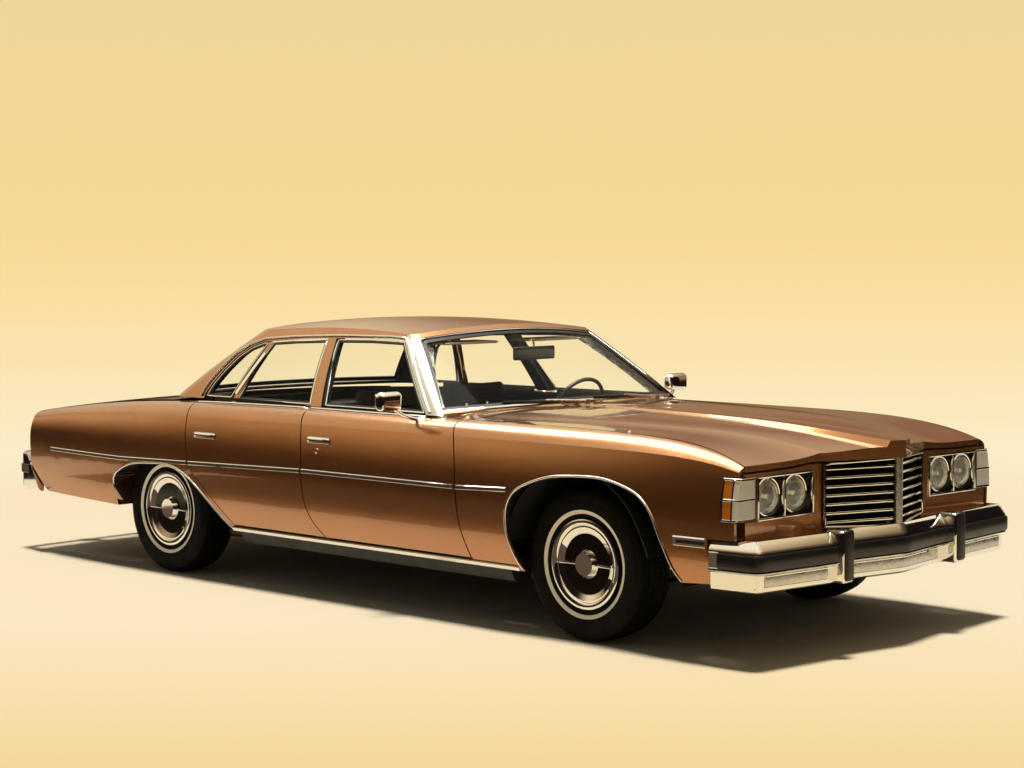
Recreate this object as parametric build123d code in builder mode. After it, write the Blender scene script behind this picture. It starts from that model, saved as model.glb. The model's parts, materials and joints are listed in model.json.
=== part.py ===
"""Full-size four-door saloon of the mid 1970s, as an assembly of panels, running gear and cabin.

Frame: +X forward, +Y to the car's left, +Z up, origin on the ground under the middle of the car.
Lengths are millimetres. A "station" is a distance ahead of the front axle (negative behind it).
Side-view outlines are lists of (station, height), plan outlines lists of (station, y).
"""

import os

from build123d import *

os.makedirs("parts", exist_ok=True)

# ---------------------------------------------------------------- driving dimensions
WHEELBASE = 3134.0
OVERALL_LENGTH = 5740.0
FRONT_OVERHANG = 1115.0
FRONT_AXLE = OVERALL_LENGTH / 2 - FRONT_OVERHANG
REAR_STATION = -WHEELBASE
TAIL_STATION = FRONT_OVERHANG - OVERALL_LENGTH
HALF_TRACK = 812.0

TYRE_RADIUS = 355.0
RIM_RADIUS = 190.0
STEER_AXIS_Y = 757.0
SPINDLE_RADIUS = 22.0
RUNNING_CLEARANCE = 0.05

HALF_GAP = 4.0
SKIN = 16.0
DOOR_INNER_Y = 862.0
POST_OUTER_Y = 853.0
POST_INNER_Y = 800.0
SILL_TOP = 318.0
DOOR_BOTTOM = SILL_TOP + 2 * HALF_GAP
SILL_BOTTOM = 232.0
FLOOR_Z = 262.0
BELT = 966.0
GREENHOUSE_DEPTH = 60.0
ROOF_THICKNESS = 34.0
GLASS_SINK = 12.0
GLASS_THICKNESS = 6.0
REACH = 1400.0


def fx(station):
    """Frame X of a station."""
    return FRONT_AXLE + station


def save(part, label):
    """Writes one finished piece as parts/label.step."""
    part.label = label
    export_step(part, f"parts/{label}.step")


def save_pair(part, label):
    """Writes a left-hand piece and its mirror image."""
    save(part, f"{label}_left")
    save(mirror(part, about=Plane.XZ), f"{label}_right")


def box(stations, ys, zs):
    """Block between two stations, two y values and two heights."""
    with BuildPart() as block:
        with BuildSketch(Plane.XY.offset(zs[0])):
            with Locations((fx((stations[0] + stations[1]) / 2), (ys[0] + ys[1]) / 2)):
                Rectangle(abs(stations[1] - stations[0]), abs(ys[1] - ys[0]))
        extrude(amount=zs[1] - zs[0])
    return block.part


def side_solid(outline, y_from, y_to, smooth=False, shift=0.0):
    """Solid behind a side-view outline between two y values."""
    points = [(fx(station) + shift, z) for station, z in outline]
    with BuildPart() as solid:
        with BuildSketch(Plane.XZ.offset(-y_from)):
            with BuildLine():
                if smooth:
                    Spline(*points)
                    Line(points[-1], points[0])
                else:
                    Polyline(*points, close=True)
            make_face()
        extrude(amount=-(y_to - y_from))
    return solid.part


def plan_solid(outline, z_from, z_to):
    """Solid above a plan-view outline between two heights."""
    with BuildPart() as solid:
        with BuildSketch(Plane.XY.offset(z_from)):
            with BuildLine():
                Polyline(*[(fx(station), y) for station, y in outline], close=True)
            make_face()
        extrude(amount=z_to - z_from)
    return solid.part


def arched_opening(opening, stations):
    """Solid through a front-view opening with arched top and bottom edges, between two stations."""
    (low_y, low_z), low_middle, (high_y, high_z), high_middle = opening
    with BuildPart() as solid:
        with BuildSketch(Plane.YZ.offset(fx(stations[0]))):
            with BuildLine():
                ThreePointArc((-high_y, high_z), (0, high_middle), (high_y, high_z))
                Line((high_y, high_z), (low_y, low_z))
                if low_middle == low_z:
                    Line((low_y, low_z), (-low_y, low_z))
                else:
                    ThreePointArc((low_y, low_z), (0, low_middle), (-low_y, low_z))
                Line((-low_y, low_z), (-high_y, high_z))
            make_face()
        extrude(amount=stations[1] - stations[0])
    return solid.part


def both_sides(half):
    """Closed plan outline from its left half of (station, y) points."""
    return half + [(station, -y) for station, y in reversed(half) if y != 0]


def tube(start, end, radius):
    """Round bar between two points given as (station, y, z)."""
    a = Vector(fx(start[0]), start[1], start[2])
    b = Vector(fx(end[0]), end[1], end[2])
    with BuildPart() as bar:
        with BuildSketch(Plane(origin=a, z_dir=b - a)):
            Circle(radius)
        extrude(amount=(b - a).length)
    return bar.part


def smooth_row(table, station):
    """Row of values at a station, eased between the table's rows without overshoot."""
    rows = sorted(table)
    stations = [row[0] for row in rows]
    values = []
    for column in range(1, len(rows[0])):
        heights = [row[column] for row in rows]
        spans = [b - a for a, b in zip(stations, stations[1:])]
        slopes = [(b - a) / span for a, b, span in zip(heights, heights[1:], spans)]
        tangents = [slopes[0]]
        for before, after in zip(slopes, slopes[1:]):
            tangents.append(2 * before * after / (before + after) if before * after > 0 else 0.0)
        tangents.append(slopes[-1])
        i = max(k for k in range(len(spans)) if k == 0 or stations[k] <= station)
        t = (station - stations[i]) / spans[i]
        values.append(
            heights[i] * (1 + 2 * t) * (1 - t) ** 2
            + spans[i] * tangents[i] * t * (1 - t) ** 2
            + heights[i + 1] * t * t * (3 - 2 * t)
            + spans[i] * tangents[i + 1] * t * t * (t - 1)
        )
    return values


def even_stations(table, count):
    """Evenly spaced stations from the table's first row to its last."""
    first, last = table[0][0], table[-1][0]
    return [first + (last - first) * i / (count - 1) for i in range(count)]


# ---------------------------------------------------------------- body side form
# station, half width, shoulder y, shoulder z, top edge y, top edge z
SIDE_STATIONS = [
    (960, 958, 932, 818, 896, 836),
    (880, 974, 940, 846, 893, 868),
    (760, 988, 950, 866, 888, 901),
    (560, 1000, 957, 884, 880, 936),
    (250, 1006, 961, 893, 874, 957),
    (-300, 1010, 964, 896, 874, 965),
    (-900, 1011, 967, 893, 880, BELT),
    (-1900, 1011, 968, 890, 884, BELT),
    (-2800, 1011, 967, 882, 880, 958),
    (-3300, 1008, 960, 866, 868, 940),
    (-3800, 997, 950, 846, 862, 904),
    (-4200, 977, 937, 818, 858, 863),
    (-4500, 950, 921, 790, 858, 823),
]
SIDE_SECTIONS = 17
FORM_BOTTOM = 225.0


def body_form(inset=0.0):
    """Left half of the lower body, from the middle plane out to the skin, moved in by inset."""
    with BuildPart() as form:
        for station in even_stations(SIDE_STATIONS, SIDE_SECTIONS):
            half_width, shoulder_y, shoulder_z, top_y, top_z = smooth_row(SIDE_STATIONS, station)
            w = half_width - inset
            shoulder_point = (shoulder_y - inset, shoulder_z - inset * 0.35)
            top_point = (top_y - inset * 0.5, top_z - inset)
            sharpness = max(0.0, min(1.0, (station + 700) / 1300))
            with BuildSketch(Plane.YZ.offset(fx(station))):
                with BuildLine():
                    Line((0, FORM_BOTTOM), (w - 106, FORM_BOTTOM))
                    Line((w - 106, FORM_BOTTOM), (w - 50, 330))
                    Spline((w - 50, 330), (w - 11, 480), (w, 620), (w - 9, 745), shoulder_point)
                    Spline(
                        shoulder_point,
                        top_point,
                        tangents=[(-0.34 - 0.36 * sharpness, 0.94 - 0.22 * sharpness), (-0.97, 0.22)],
                    )
                    Line(top_point, (0, top_point[1]))
                    Line((0, top_point[1]), (0, FORM_BOTTOM))
                make_face()
        loft()
    return form.part


# ---------------------------------------------------------------- bonnet and deck forms
# station, spine height, spine half width, spine step, ridge y, ridge z, edge height
HOOD_STATIONS = [
    (1125, 922, 74, 30, 352, 880, 836),
    (930, 938, 75, 28, 372, 889, 856),
    (760, 952, 76, 24, 405, 916, 901),
    (560, 968, 77, 18, 445, 947, 937),
    (250, 984, 78, 14, 512, 967, 957),
    (-200, 996, 80, 10, 600, 977, 964),
    (-680, 1004, 84, 8, 700, 979, 965),
    (-1110, 1006, 88, 7, 760, 979, 965),
]
HOOD_SECTIONS = 10
# station, middle height, edge height
DECK_STATIONS = [
    (-3200, 970, 946),
    (-3500, 950, 928),
    (-3800, 926, 903),
    (-4200, 888, 862),
    (-4520, 848, 816),
]
DECK_SECTIONS = 6
TOP_FORM_HALF_WIDTH = 915.0
TOP_FORM_BOTTOM = 150.0


def hood_form(drop=0.0):
    """Block whose top is the bonnet surface, with its middle spine and two ridges, lowered by drop."""
    with BuildPart() as form:
        for station in even_stations(HOOD_STATIONS, HOOD_SECTIONS):
            spine_z, spine_y, step, ridge_y, ridge_z, edge_z = smooth_row(HOOD_STATIONS, station)
            spine_edge = (spine_y, spine_z - 2 - drop)
            spine_foot = (spine_y + 16, spine_z - step - drop)
            ridge_point = (ridge_y, ridge_z - drop)
            edge_point = (TOP_FORM_HALF_WIDTH, edge_z - drop)
            with BuildSketch(Plane.YZ.offset(fx(station))):
                with BuildLine():
                    ThreePointArc((-spine_edge[0], spine_edge[1]), (0, spine_z - drop), spine_edge)
                    for side in (1, -1):
                        edge = (side * spine_edge[0], spine_edge[1])
                        foot = (side * spine_foot[0], spine_foot[1])
                        crest = (side * ridge_point[0], ridge_point[1])
                        rim = (side * edge_point[0], edge_point[1])
                        Line(edge, foot)
                        Spline(foot, crest, tangents=[(side, 0.02), (side * 0.995, -0.1)])
                        Spline(crest, rim, tangents=[(side * 0.98, -0.2), (side, -0.03)])
                        Line(rim, (rim[0], TOP_FORM_BOTTOM))
                    Line((edge_point[0], TOP_FORM_BOTTOM), (-edge_point[0], TOP_FORM_BOTTOM))
                make_face()
        loft()
    return form.part


def deck_form(drop=0.0):
    """Block whose top is the boot deck surface, lowered by drop."""
    with BuildPart() as form:
        for station in even_stations(DECK_STATIONS, DECK_SECTIONS):
            middle_z, edge_z = smooth_row(DECK_STATIONS, station)
            with BuildSketch(Plane.YZ.offset(fx(station))):
                left = (TOP_FORM_HALF_WIDTH, edge_z - drop)
                right = (-TOP_FORM_HALF_WIDTH, edge_z - drop)
                with BuildLine():
                    ThreePointArc(right, (0, middle_z - drop), left)
                    Line(left, (left[0], TOP_FORM_BOTTOM))
                    Line((left[0], TOP_FORM_BOTTOM), (right[0], TOP_FORM_BOTTOM))
                    Line((right[0], TOP_FORM_BOTTOM), right)
                make_face()
        loft()
    return form.part


# ---------------------------------------------------------------- greenhouse form
# height, screen (corner station, centre station, y), back light (corner station, centre station, y)
GREENHOUSE_LEVELS = [
    (905, (-900, -668, 918), (-3225, -3415, 880)),
    (1140, (-1165, -985, 792), (-2925, -3070, 775)),
    (1350, (-1418, -1292, 648), (-2640, -2745, 640)),
    (1460, (-1560, -1460, 566), (-2490, -2570, 560)),
]
ROOF_TOP = 1414.0
ROOF_CROWN_RADIUS = 4600.0
ROOF_SWEEP_RADIUS = 8200.0
ROOF_PEAK_STATION = -1980.0


def greenhouse_form(inset=0.0, roof_inset=None):
    """Cabin above the belt line as one closed form, moved in by inset."""
    roof_inset = inset if roof_inset is None else roof_inset
    top = ROOF_TOP - roof_inset
    half = 900.0
    sag = half**2 / (2 * ROOF_CROWN_RADIUS)
    sweep_axis = Axis((fx(ROOF_PEAK_STATION), 0, top - ROOF_SWEEP_RADIUS), (0, 1, 0))
    with BuildPart() as dome:
        with BuildSketch(Plane.YZ.offset(fx(ROOF_PEAK_STATION))):
            with BuildLine():
                ThreePointArc((-half, top - sag), (0, top), (half, top - sag))
                Polyline((half, top - sag), (half, 800), (-half, 800), (-half, top - sag))
            make_face()
        revolve(axis=sweep_axis, revolution_arc=30)
    roof_limit = dome.part.rotate(sweep_axis, -15)
    push = inset * 1.35
    with BuildPart() as form:
        for height, screen, back in GREENHOUSE_LEVELS:
            corner_x, centre_x = fx(screen[0]) - push, fx(screen[1]) - push
            rear_x, rear_centre_x = fx(back[0]) + push, fx(back[1]) + push
            screen_y, rear_y = screen[2] - inset, back[2] - inset
            with BuildSketch(Plane.XY.offset(height)) as level:
                with BuildLine():
                    ThreePointArc((corner_x, -screen_y), (centre_x, 0), (corner_x, screen_y))
                    Line((corner_x, screen_y), (rear_x, rear_y))
                    ThreePointArc((rear_x, rear_y), (rear_centre_x, 0), (rear_x, -rear_y))
                    Line((rear_x, -rear_y), (corner_x, -screen_y))
                make_face()
                fillet(level.vertices().group_by(Axis.X)[-1], 45 - inset * 0.5)
                fillet(level.vertices().group_by(Axis.X)[0], 120 - inset)
        loft()
        add(roof_limit, mode=Mode.INTERSECT)
    return form.part


# ---------------------------------------------------------------- shut lines, wheel arches, window outlines
FENDER_DOOR_GAP = [
    (-650, 215), (-672, 300), (-715, 460), (-734, 600), (-745, 715), (-775, 850), (-845, 990),
]
DOOR_DOOR_GAP = [
    (-1640, 250), (-1740, 330), (-1828, 433), (-1860, 545), (-1869, 680), (-1899, 850),
    (-1955, 1000),
]
DOOR_QUARTER_GAP = [
    (-2380, 230), (-2474, 318), (-2600, 432), (-2712, 528), (-2800, 606), (-2836, 700),
    (-2862, 820), (-2910, 990),
]
FRONT_ARCH = [
    (-325, 200), (-340, 279), (-380, 384), (-406, 515), (-375, 632), (-255, 708), (20, 757),
    (296, 736), (435, 668), (522, 510), (572, 390), (640, 300), (690, 200),
]
REAR_ARCH = [
    (-3240, 200), (-3350, 305), (-3490, 400), (-3526, 486), (-3440, 558), (-3163, 606),
    (-2950, 600), (-2830, 556), (-2728, 488), (-2620, 395), (-2500, 290), (-2400, 200),
]
FENDER_HOOD_GAP = [
    (1200, 940), (1000, 916), (890, 900), (790, 880), (690, 862), (560, 852), (300, 850),
    (-1200, 850),
]
WINDOW_FRONT = [
    (-1066, 974), (-1290, 1176), (-1448, 1320), (-1700, 1324), (-1978, 1318), (-1866, 974),
]
WINDOW_REAR = [
    (-1956, 974), (-2044, 1316), (-2300, 1305), (-2550, 1286), (-2636, 1258), (-2712, 1208),
    (-2786, 1126), (-2836, 1056), (-2866, 1000), (-2866, 974),
]
DIVIDER = [(-2596, 930), (-2632, 930), (-2498, 1300), (-2474, 1300)]
# bottom corner (y, z), bottom middle height, top corner (y, z), top middle height
SCREEN_OPENING = ((868, 970), 982, (640, 1332), 1368)
SCREEN_LIMIT = [(-400, 900), (-1016, 960), (-1428, 1330), (-1428, 1420), (-400, 1420)]
BACK_OPENING = ((792, 990), 990, (600, 1300), 1332)


def gap_band(points, ahead, behind):
    """Solid covering everything between a shut line moved ahead and one moved behind."""
    front = [(station + ahead, z) for station, z in points]
    rear = [(station - behind, z) for station, z in reversed(points)]
    with BuildPart() as band:
        with BuildSketch(Plane.XZ):
            with BuildLine():
                first = Spline(*[(fx(station), z) for station, z in front])
                second = Spline(*[(fx(station), z) for station, z in rear])
                Line(first @ 1, second @ 0)
                Line(second @ 1, first @ 0)
            make_face()
        extrude(amount=-REACH)
    return band.part


def between(front_gap, rear_gap, low, high):
    """Solid between two shut lines, held back from each by half a gap."""
    block = box((2000, -5000), (0, REACH), (low, high))
    if front_gap:
        block -= gap_band(front_gap, 4000, HALF_GAP)
    if rear_gap:
        block -= gap_band(rear_gap, HALF_GAP, 4000)
    return block


def arch_cutter(arch, y_from):
    """Solid that opens a wheel arch through the body side."""
    return side_solid(arch, y_from, REACH, smooth=True)


outer = body_form()
inner = body_form(SKIN)
hood_top = hood_form()
hood_under = hood_form(26)
deck_top = deck_form()
deck_under = deck_form(24)
shell = greenhouse_form() - greenhouse_form(GREENHOUSE_DEPTH, ROOF_THICKNESS)
glass_shell = greenhouse_form(GLASS_SINK, -50) - greenhouse_form(GLASS_SINK + GLASS_THICKNESS, -90)
front_arch = arch_cutter(FRONT_ARCH, 500)
rear_arch = arch_cutter(REAR_ARCH, 500)


def hood_side_limit(margin):
    """Plan solid inside the line between bonnet and fenders, moved by margin."""
    return plan_solid(
        both_sides([(station, y + margin) for station, y in FENDER_HOOD_GAP]), 500, 1100
    )


# ---------------------------------------------------------------- front fenders
FENDER_FRONT = 906.0
BUMPER_TOP = 545.0
LAMP_Z = (626.0, 812.0)

fender = (outer - inner) & between(None, FENDER_DOOR_GAP, FORM_BOTTOM, 1100)
fender = fender - front_arch - hood_side_limit(HALF_GAP)
fender = fender & box((FENDER_FRONT, -1000), (500, REACH), (292, 1100))
fender = fender - box((FENDER_FRONT + 5, 838), (500, REACH), LAMP_Z)
chin = side_solid([(700, 200), (560, 340), (840, 356), (840, 200)], 500, REACH)
fender = fender - chin - box((1200, 770), (500, REACH), (200, BUMPER_TOP + 4))
save_pair(fender, "front_fender")

# ---------------------------------------------------------------- doors


def window_prism(outline, margin):
    """Solid through a side window outline, held back by margin."""
    with BuildPart() as prism:
        with BuildSketch(Plane.XZ.offset(-400)):
            with BuildLine():
                Polyline(*[(fx(station), z) for station, z in outline], close=True)
            make_face()
            offset(amount=-margin, kind=Kind.INTERSECTION)
        extrude(amount=-REACH)
    return prism.part


def pane(outline, margin):
    """Side glass inside a window outline, held back by margin and sunk into the door."""
    front, rear = outline[0][0], outline[-1][0]
    front, rear = max(front, rear) - 2.5 * margin, min(front, rear) + margin
    low = side_solid([(rear, 980), (front, 980), (front, 938), (rear, 938)], 400, 1800)
    return glass_shell & (window_prism(outline, margin) + low)


front_glass = pane(WINDOW_FRONT, 6)
rear_glass = pane(WINDOW_REAR, 6)
divider_wall = greenhouse_form(4, -50) - greenhouse_form(34, -90)
divider = divider_wall & side_solid(DIVIDER, 400, REACH) & (
    window_prism(WINDOW_REAR, 7) + box((-2300, -2800), (400, REACH), (900, 990))
)
rear_glass = rear_glass - divider

door_wall = outer & box((2000, -5000), (DOOR_INNER_Y, REACH), (DOOR_BOTTOM, 1100))
front_door = door_wall & between(FENDER_DOOR_GAP, DOOR_DOOR_GAP, DOOR_BOTTOM, 1100)
front_door = front_door - front_glass
rear_door = door_wall & between(DOOR_DOOR_GAP, DOOR_QUARTER_GAP, DOOR_BOTTOM, 1100)
lower_edge_relief = [(-1900, 300), (-1700, 300), (-1700, 440), (-1846, 440)]
rear_door = rear_door - side_solid(lower_edge_relief, DOOR_INNER_Y, 935)
rear_door = rear_door + divider - rear_glass
save_pair(front_door, "front_door")
save_pair(rear_door, "rear_door")
save_pair(front_glass, "front_door_glass")
save_pair(rear_glass, "rear_door_glass")

# ---------------------------------------------------------------- quarter panels
TAIL_LAMP_Z = (600.0, 726.0)
TAIL_CENTRE = -4480.0
TAIL_CORNER = -4430.0
DECK_HALF_WIDTH = 806.0
CORE_REAR = -4400.0
# where the rear bumper's ends meet the quarter panels in side view
BUMPER_LINE = [(-4285, 368), (-4490, 590)]
LID_FRONT = -3478.0
with BuildPart() as tail_limit_part:
    with BuildSketch(Plane.XY.offset(150)):
        with BuildLine():
            ThreePointArc((fx(TAIL_CORNER), -935), (fx(TAIL_CENTRE), 0), (fx(TAIL_CORNER), 935))
            Polyline(
                (fx(TAIL_CORNER), 935), (fx(TAIL_CORNER + 22), 1200), (fx(-2000), 1200),
                (fx(-2000), -1200), (fx(TAIL_CORNER + 22), -1200), (fx(TAIL_CORNER), -935),
            )
        make_face()
    extrude(amount=1200)
tail_limit = tail_limit_part.part

wheel_pocket = tube((REAR_STATION, 500, TYRE_RADIUS), (REAR_STATION, 972, TYRE_RADIUS), 398)
quarter = outer & between(DOOR_QUARTER_GAP, None, 300, 1100) & tail_limit
quarter_core = box((-1000, CORE_REAR), (0, DOOR_INNER_Y), (200, 1000))
quarter_core = quarter_core + box((-3560, CORE_REAR), (0, 985), (200, 760))
quarter_core = quarter_core & inner
quarter = quarter - quarter_core - wheel_pocket - rear_arch
lid_plan = box((LID_FRONT, -4600), (-DECK_HALF_WIDTH, DECK_HALF_WIDTH), (300, 1100))
quarter = quarter - box((-2000, -4600), (-1, DECK_HALF_WIDTH + HALF_GAP), (200, 1100))
quarter = quarter - box((-4300, -4600), (470, 915), TAIL_LAMP_Z)
belly = [(-3200, 200), (-3376, 342)] + BUMPER_LINE + [(-4600, 590), (-4600, 200)]
quarter = quarter - side_solid(belly, 0, REACH)
save_pair(quarter, "quarter_panel")

# ---------------------------------------------------------------- roof with pillars and sails
roof = shell - box((0, -4000), (-REACH, REACH), (800, 975))
left_windows = side_solid(WINDOW_FRONT, 380, REACH) + side_solid(WINDOW_REAR, 380, REACH)
roof = roof - left_windows - mirror(left_windows, about=Plane.XZ)
screen_region = arched_opening(SCREEN_OPENING, (-400, -1700)) & side_solid(SCREEN_LIMIT, -REACH, REACH)
roof = roof - screen_region
roof = roof - arched_opening(BACK_OPENING, (-2450, -3600))
roof = roof - hood_top - deck_top
save(roof, "roof")

windshield = glass_shell & screen_region
save(windshield, "windshield")
rear_window = glass_shell & arched_opening(BACK_OPENING, (-2450, -3600))
save(rear_window, "rear_window")

# ---------------------------------------------------------------- bonnet
HOOD_FRONT = [(1100, 0), (938, 378), (921, 394), (905, 905), (905, 1000), (1200, 1000)]
LIP_DEPTH = 30.0
LIP_BOTTOM = 846.0
HOOD_REAR = [(-793, 900), (-740, 620), (-660, 330), (-600, 0)]
hood_plan = hood_side_limit(-HALF_GAP)
hood_plan = hood_plan - plan_solid(both_sides(HOOD_FRONT), 500, 1100)
hood_plan = hood_plan - plan_solid(both_sides([(-1300, 1000), (-793, 1000)] + HOOD_REAR), 500, 1100)
hood = (hood_top - hood_under) & hood_plan
lip_back = [(station - LIP_DEPTH, y) for station, y in HOOD_FRONT]
lip = hood_top & hood_plan & box((500, 1200), (-REACH, REACH), (LIP_BOTTOM, 1100))
hood = hood + (lip & plan_solid(both_sides(lip_back), 500, 1100))
save(hood, "hood")


# ---------------------------------------------------------------- cowl, rear deck and boot lid
screen_core = greenhouse_form(GREENHOUSE_DEPTH + 10)
cowl_edge = [(station - 2 * HALF_GAP, y) for station, y in HOOD_REAR[1:]]
cowl_plan = plan_solid(both_sides([(-1100, 848), (-801, 848), (-801, 846)] + cowl_edge), 500, 1100)
cowl = (hood_top - hood_form(40)) & cowl_plan
cowl = cowl - screen_core
firewall = box((-664, -676), (-848, 848), (FLOOR_Z + 12, 972))
firewall = firewall - box((-600, -700), (-150, 150), (200, 440))
apost = box((-700, -790), (POST_INNER_Y, POST_OUTER_Y), (SILL_TOP, 970))
cowl = cowl + ((firewall + apost + mirror(apost, about=Plane.XZ)) & hood_form(36))
cowl = cowl + (box((-664, -792), (-848, 848), (900, 925)) & hood_form(34)) - windshield
save(cowl, "cowl")

DECK_REACH = DECK_HALF_WIDTH + HALF_GAP
deck_plan = box((-3150, LID_FRONT + 2 * HALF_GAP), (-DECK_REACH, DECK_REACH), (500, 1100))
rear_deck = (deck_top - deck_form(28)) & deck_plan
rear_deck = rear_deck - greenhouse_form(GREENHOUSE_DEPTH + 10) - roof
shelf = box((-2960, -3300), (-740, 740), (868, 884))
bulkhead = box((-2960, -2972), (-636, 636), (518, 868))
rear_deck = rear_deck + box((-3290, -3310), (-780, 780), (868, 925)) + shelf + bulkhead
rear_deck = rear_deck - roof - quarter
save(rear_deck, "rear_deck")

LID_BOTTOM = 742.0
lid = (deck_top - deck_under) & lid_plan & tail_limit
lid_lip_box = box((-4300, -4600), (-DECK_HALF_WIDTH, DECK_HALF_WIDTH), (LID_BOTTOM, 1100))
lid_lip = deck_top & lid_lip_box & tail_limit
lid_lip = lid_lip - tail_limit.translate((34, 0, 0))
lid = lid + lid_lip
save(lid, "trunk_lid")

# ---------------------------------------------------------------- tail panel and lamps
PLATE_Z = 661.0
PLATE_HOLES_Y, PLATE_HOLES_Z = 178.0, 121.0
PLATE_HOLE_RADIUS = 3.5
tail_wall = tail_limit - tail_limit.translate((40, 0, 0))
tail_lamp_half = box((-4300, -4600), (470, 915), TAIL_LAMP_Z)
tail_lamp_plan = tail_lamp_half + mirror(tail_lamp_half, about=Plane.XZ)
tail_z = (440, LID_BOTTOM - 2 * HALF_GAP)
tail_panel = tail_wall & box((-4300, -4600), (-DECK_HALF_WIDTH, DECK_HALF_WIDTH), tail_z)
tail_panel = tail_panel - tail_lamp_plan
tail_panel = tail_panel + box((TAIL_CENTRE + 20, TAIL_CENTRE - 12), (-165, 165), (588, 734))
for y in (-PLATE_HOLES_Y / 2, PLATE_HOLES_Y / 2):
    for z in (PLATE_Z - PLATE_HOLES_Z / 2, PLATE_Z + PLATE_HOLES_Z / 2):
        hole = tube((TAIL_CENTRE + 60, y, z), (TAIL_CENTRE - 30, y, z), PLATE_HOLE_RADIUS)
        tail_panel = tail_panel - hole
tail_lamps = (tail_wall - tail_limit.translate((22, 0, 0))).translate((-6, 0, 0))
tail_lamp_small = box((-4200, -4700), (473, 905), (603, 723))
tail_lamps = tail_lamps & (tail_lamp_small + mirror(tail_lamp_small, about=Plane.XZ))

# ---------------------------------------------------------------- nose, grille and lamps
GRILLE_HALF = 373.0
GRILLE_Z = (538.0, 840.0)
NOSE_TOP = 838.0
PROW = 1058.0
NOSE_FACE = 922.0
nose = box((NOSE_FACE - 64, NOSE_FACE), (-936, 936), (470, NOSE_TOP)) & hood_form(34)
nose = nose - box((800, 1000), (-GRILLE_HALF - 6, GRILLE_HALF + 6), (GRILLE_Z[0] - 4, 1000))
bezel_z = (622.0, 812.0)
for side in (1, -1):
    nose = nose - box((800, 1000), (side * 443, side * 832), bezel_z)
    nose = nose - box((800, 1000), (side * 838, side * 1000), (622, 812))
nose = nose & inner & box((800, 1000), (0, REACH), (400, 900))
nose = nose + mirror(nose, about=Plane.XZ)


def v_strip(back, front, half, low, high):
    """Strip that follows the V of the prow between two depths behind it."""
    slope = (PROW - 931) / GRILLE_HALF
    edge = PROW - slope * half
    points = [(PROW - front, 0), (edge - front, half), (edge - back, half), (PROW - back, 0)]
    return plan_solid(both_sides(points), low, high)


GRILLE_RIM, GRILLE_BARS, BAR_HALF = 14.0, 7, 7.0
grille_low, grille_high = GRILLE_Z[0] + GRILLE_RIM, GRILLE_Z[1] - GRILLE_RIM
grille = v_strip(70, 0, GRILLE_HALF, *GRILLE_Z)
grille = grille - v_strip(58, -5, GRILLE_HALF - GRILLE_RIM, grille_low, grille_high)
for row in range(GRILLE_BARS):
    bar_z = grille_low + (row + 0.5) * (grille_high - grille_low) / GRILLE_BARS
    grille = grille + v_strip(60, 6, GRILLE_HALF - 12, bar_z - BAR_HALF, bar_z + BAR_HALF)
grille = grille + v_strip(66, -4, 26, GRILLE_Z[0], GRILLE_Z[1] + 4)
grille = grille & hood_under
save(grille, "grille")
save(nose, "nose_panel")

HEADLAMPS = ((742.0, 721.0), (554.0, 720.0))
lamps_left = box((NOSE_FACE - 60, NOSE_FACE - 26), (445, 830), (624, 810))
lamp_rim = box((NOSE_FACE - 30, NOSE_FACE + 6), (445, 830), (624, 810))
lamps_left = lamps_left + (lamp_rim - box((900, 990), (459, 816), (638, 796)))
for y, z in HEADLAMPS:
    lamps_left = lamps_left + tube((NOSE_FACE - 40, y, z), (NOSE_FACE + 2, y, z), 74)
with BuildPart() as headlamps:
    add(lamps_left)
    add(mirror(lamps_left, about=Plane.XZ))
save(headlamps.part, "headlamps")

CORNER_Y, CORNER_Z = 838.0, (630, 808)
corner_side = box((842, FENDER_FRONT + 10), (CORNER_Y, REACH), CORNER_Z)
corner_left = (outer - inner.translate((-30, 0, 0))) & corner_side
corner_left = corner_left + (outer & box((FENDER_FRONT - 20, FENDER_FRONT + 14), (CORNER_Y, 972), CORNER_Z))
with BuildPart() as corner_lamps:
    add(corner_left)
    add(mirror(corner_left, about=Plane.XZ))
save(corner_lamps.part, "corner_lamps")

# ---------------------------------------------------------------- bumpers
def bumper(half, depth, low, high, radius, roll):
    """Bumper bar behind a plan outline of (station, y) points given from its middle to its end."""
    end_station, end_y = half[-1]
    sign = 1 if half[0][0] > end_station else -1
    inner_half = [(station - sign * depth, y - (depth if y > 600 else 0)) for station, y in half]
    inner_half[-1] = (end_station, end_y - depth)
    outline = half + list(reversed(inner_half))
    with BuildPart() as bar:
        with BuildSketch(Plane.XY.offset(low)) as plan:
            with BuildLine():
                Polyline(*[(fx(station), y) for station, y in outline], close=True)
            make_face()
            corners = plan.vertices().filter_by_position(Axis.Y, 600, end_y - 1)
            fillet(corners, radius)
            mirror(about=Plane.XZ)
        extrude(amount=high - low)
        face = bar.faces().filter_by(lambda f: abs(f.normal_at().Z) < 0.1 and f.normal_at().X * sign > 0.05)
        level_edges = [edge for edge in face.edges() if abs(edge.tangent_at(0.5).Z) < 0.1]
        chamfer(level_edges, roll)
    return bar.part


front_outline = [(1113, 0), (1052, 385), (1076, 480), (1026, 962), (782, 988)]
front_bumper = bumper(front_outline, 44, 430, BUMPER_TOP, 28, 18)
valance_outline = [(1093, 0), (1034, 385), (1058, 480), (1010, 946), (800, 970)]
front_bumper = front_bumper + bumper(valance_outline, 36, 326, 440, 24, 9)
for y in (433, -433):
    front_bumper = front_bumper + box((1010, FRONT_OVERHANG), (y - 42, y + 42), (323, 561))
    front_bumper = front_bumper + box((900, 1050), (y - 33, y + 33), (345, 425))
save(front_bumper, "front_bumper")

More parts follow.
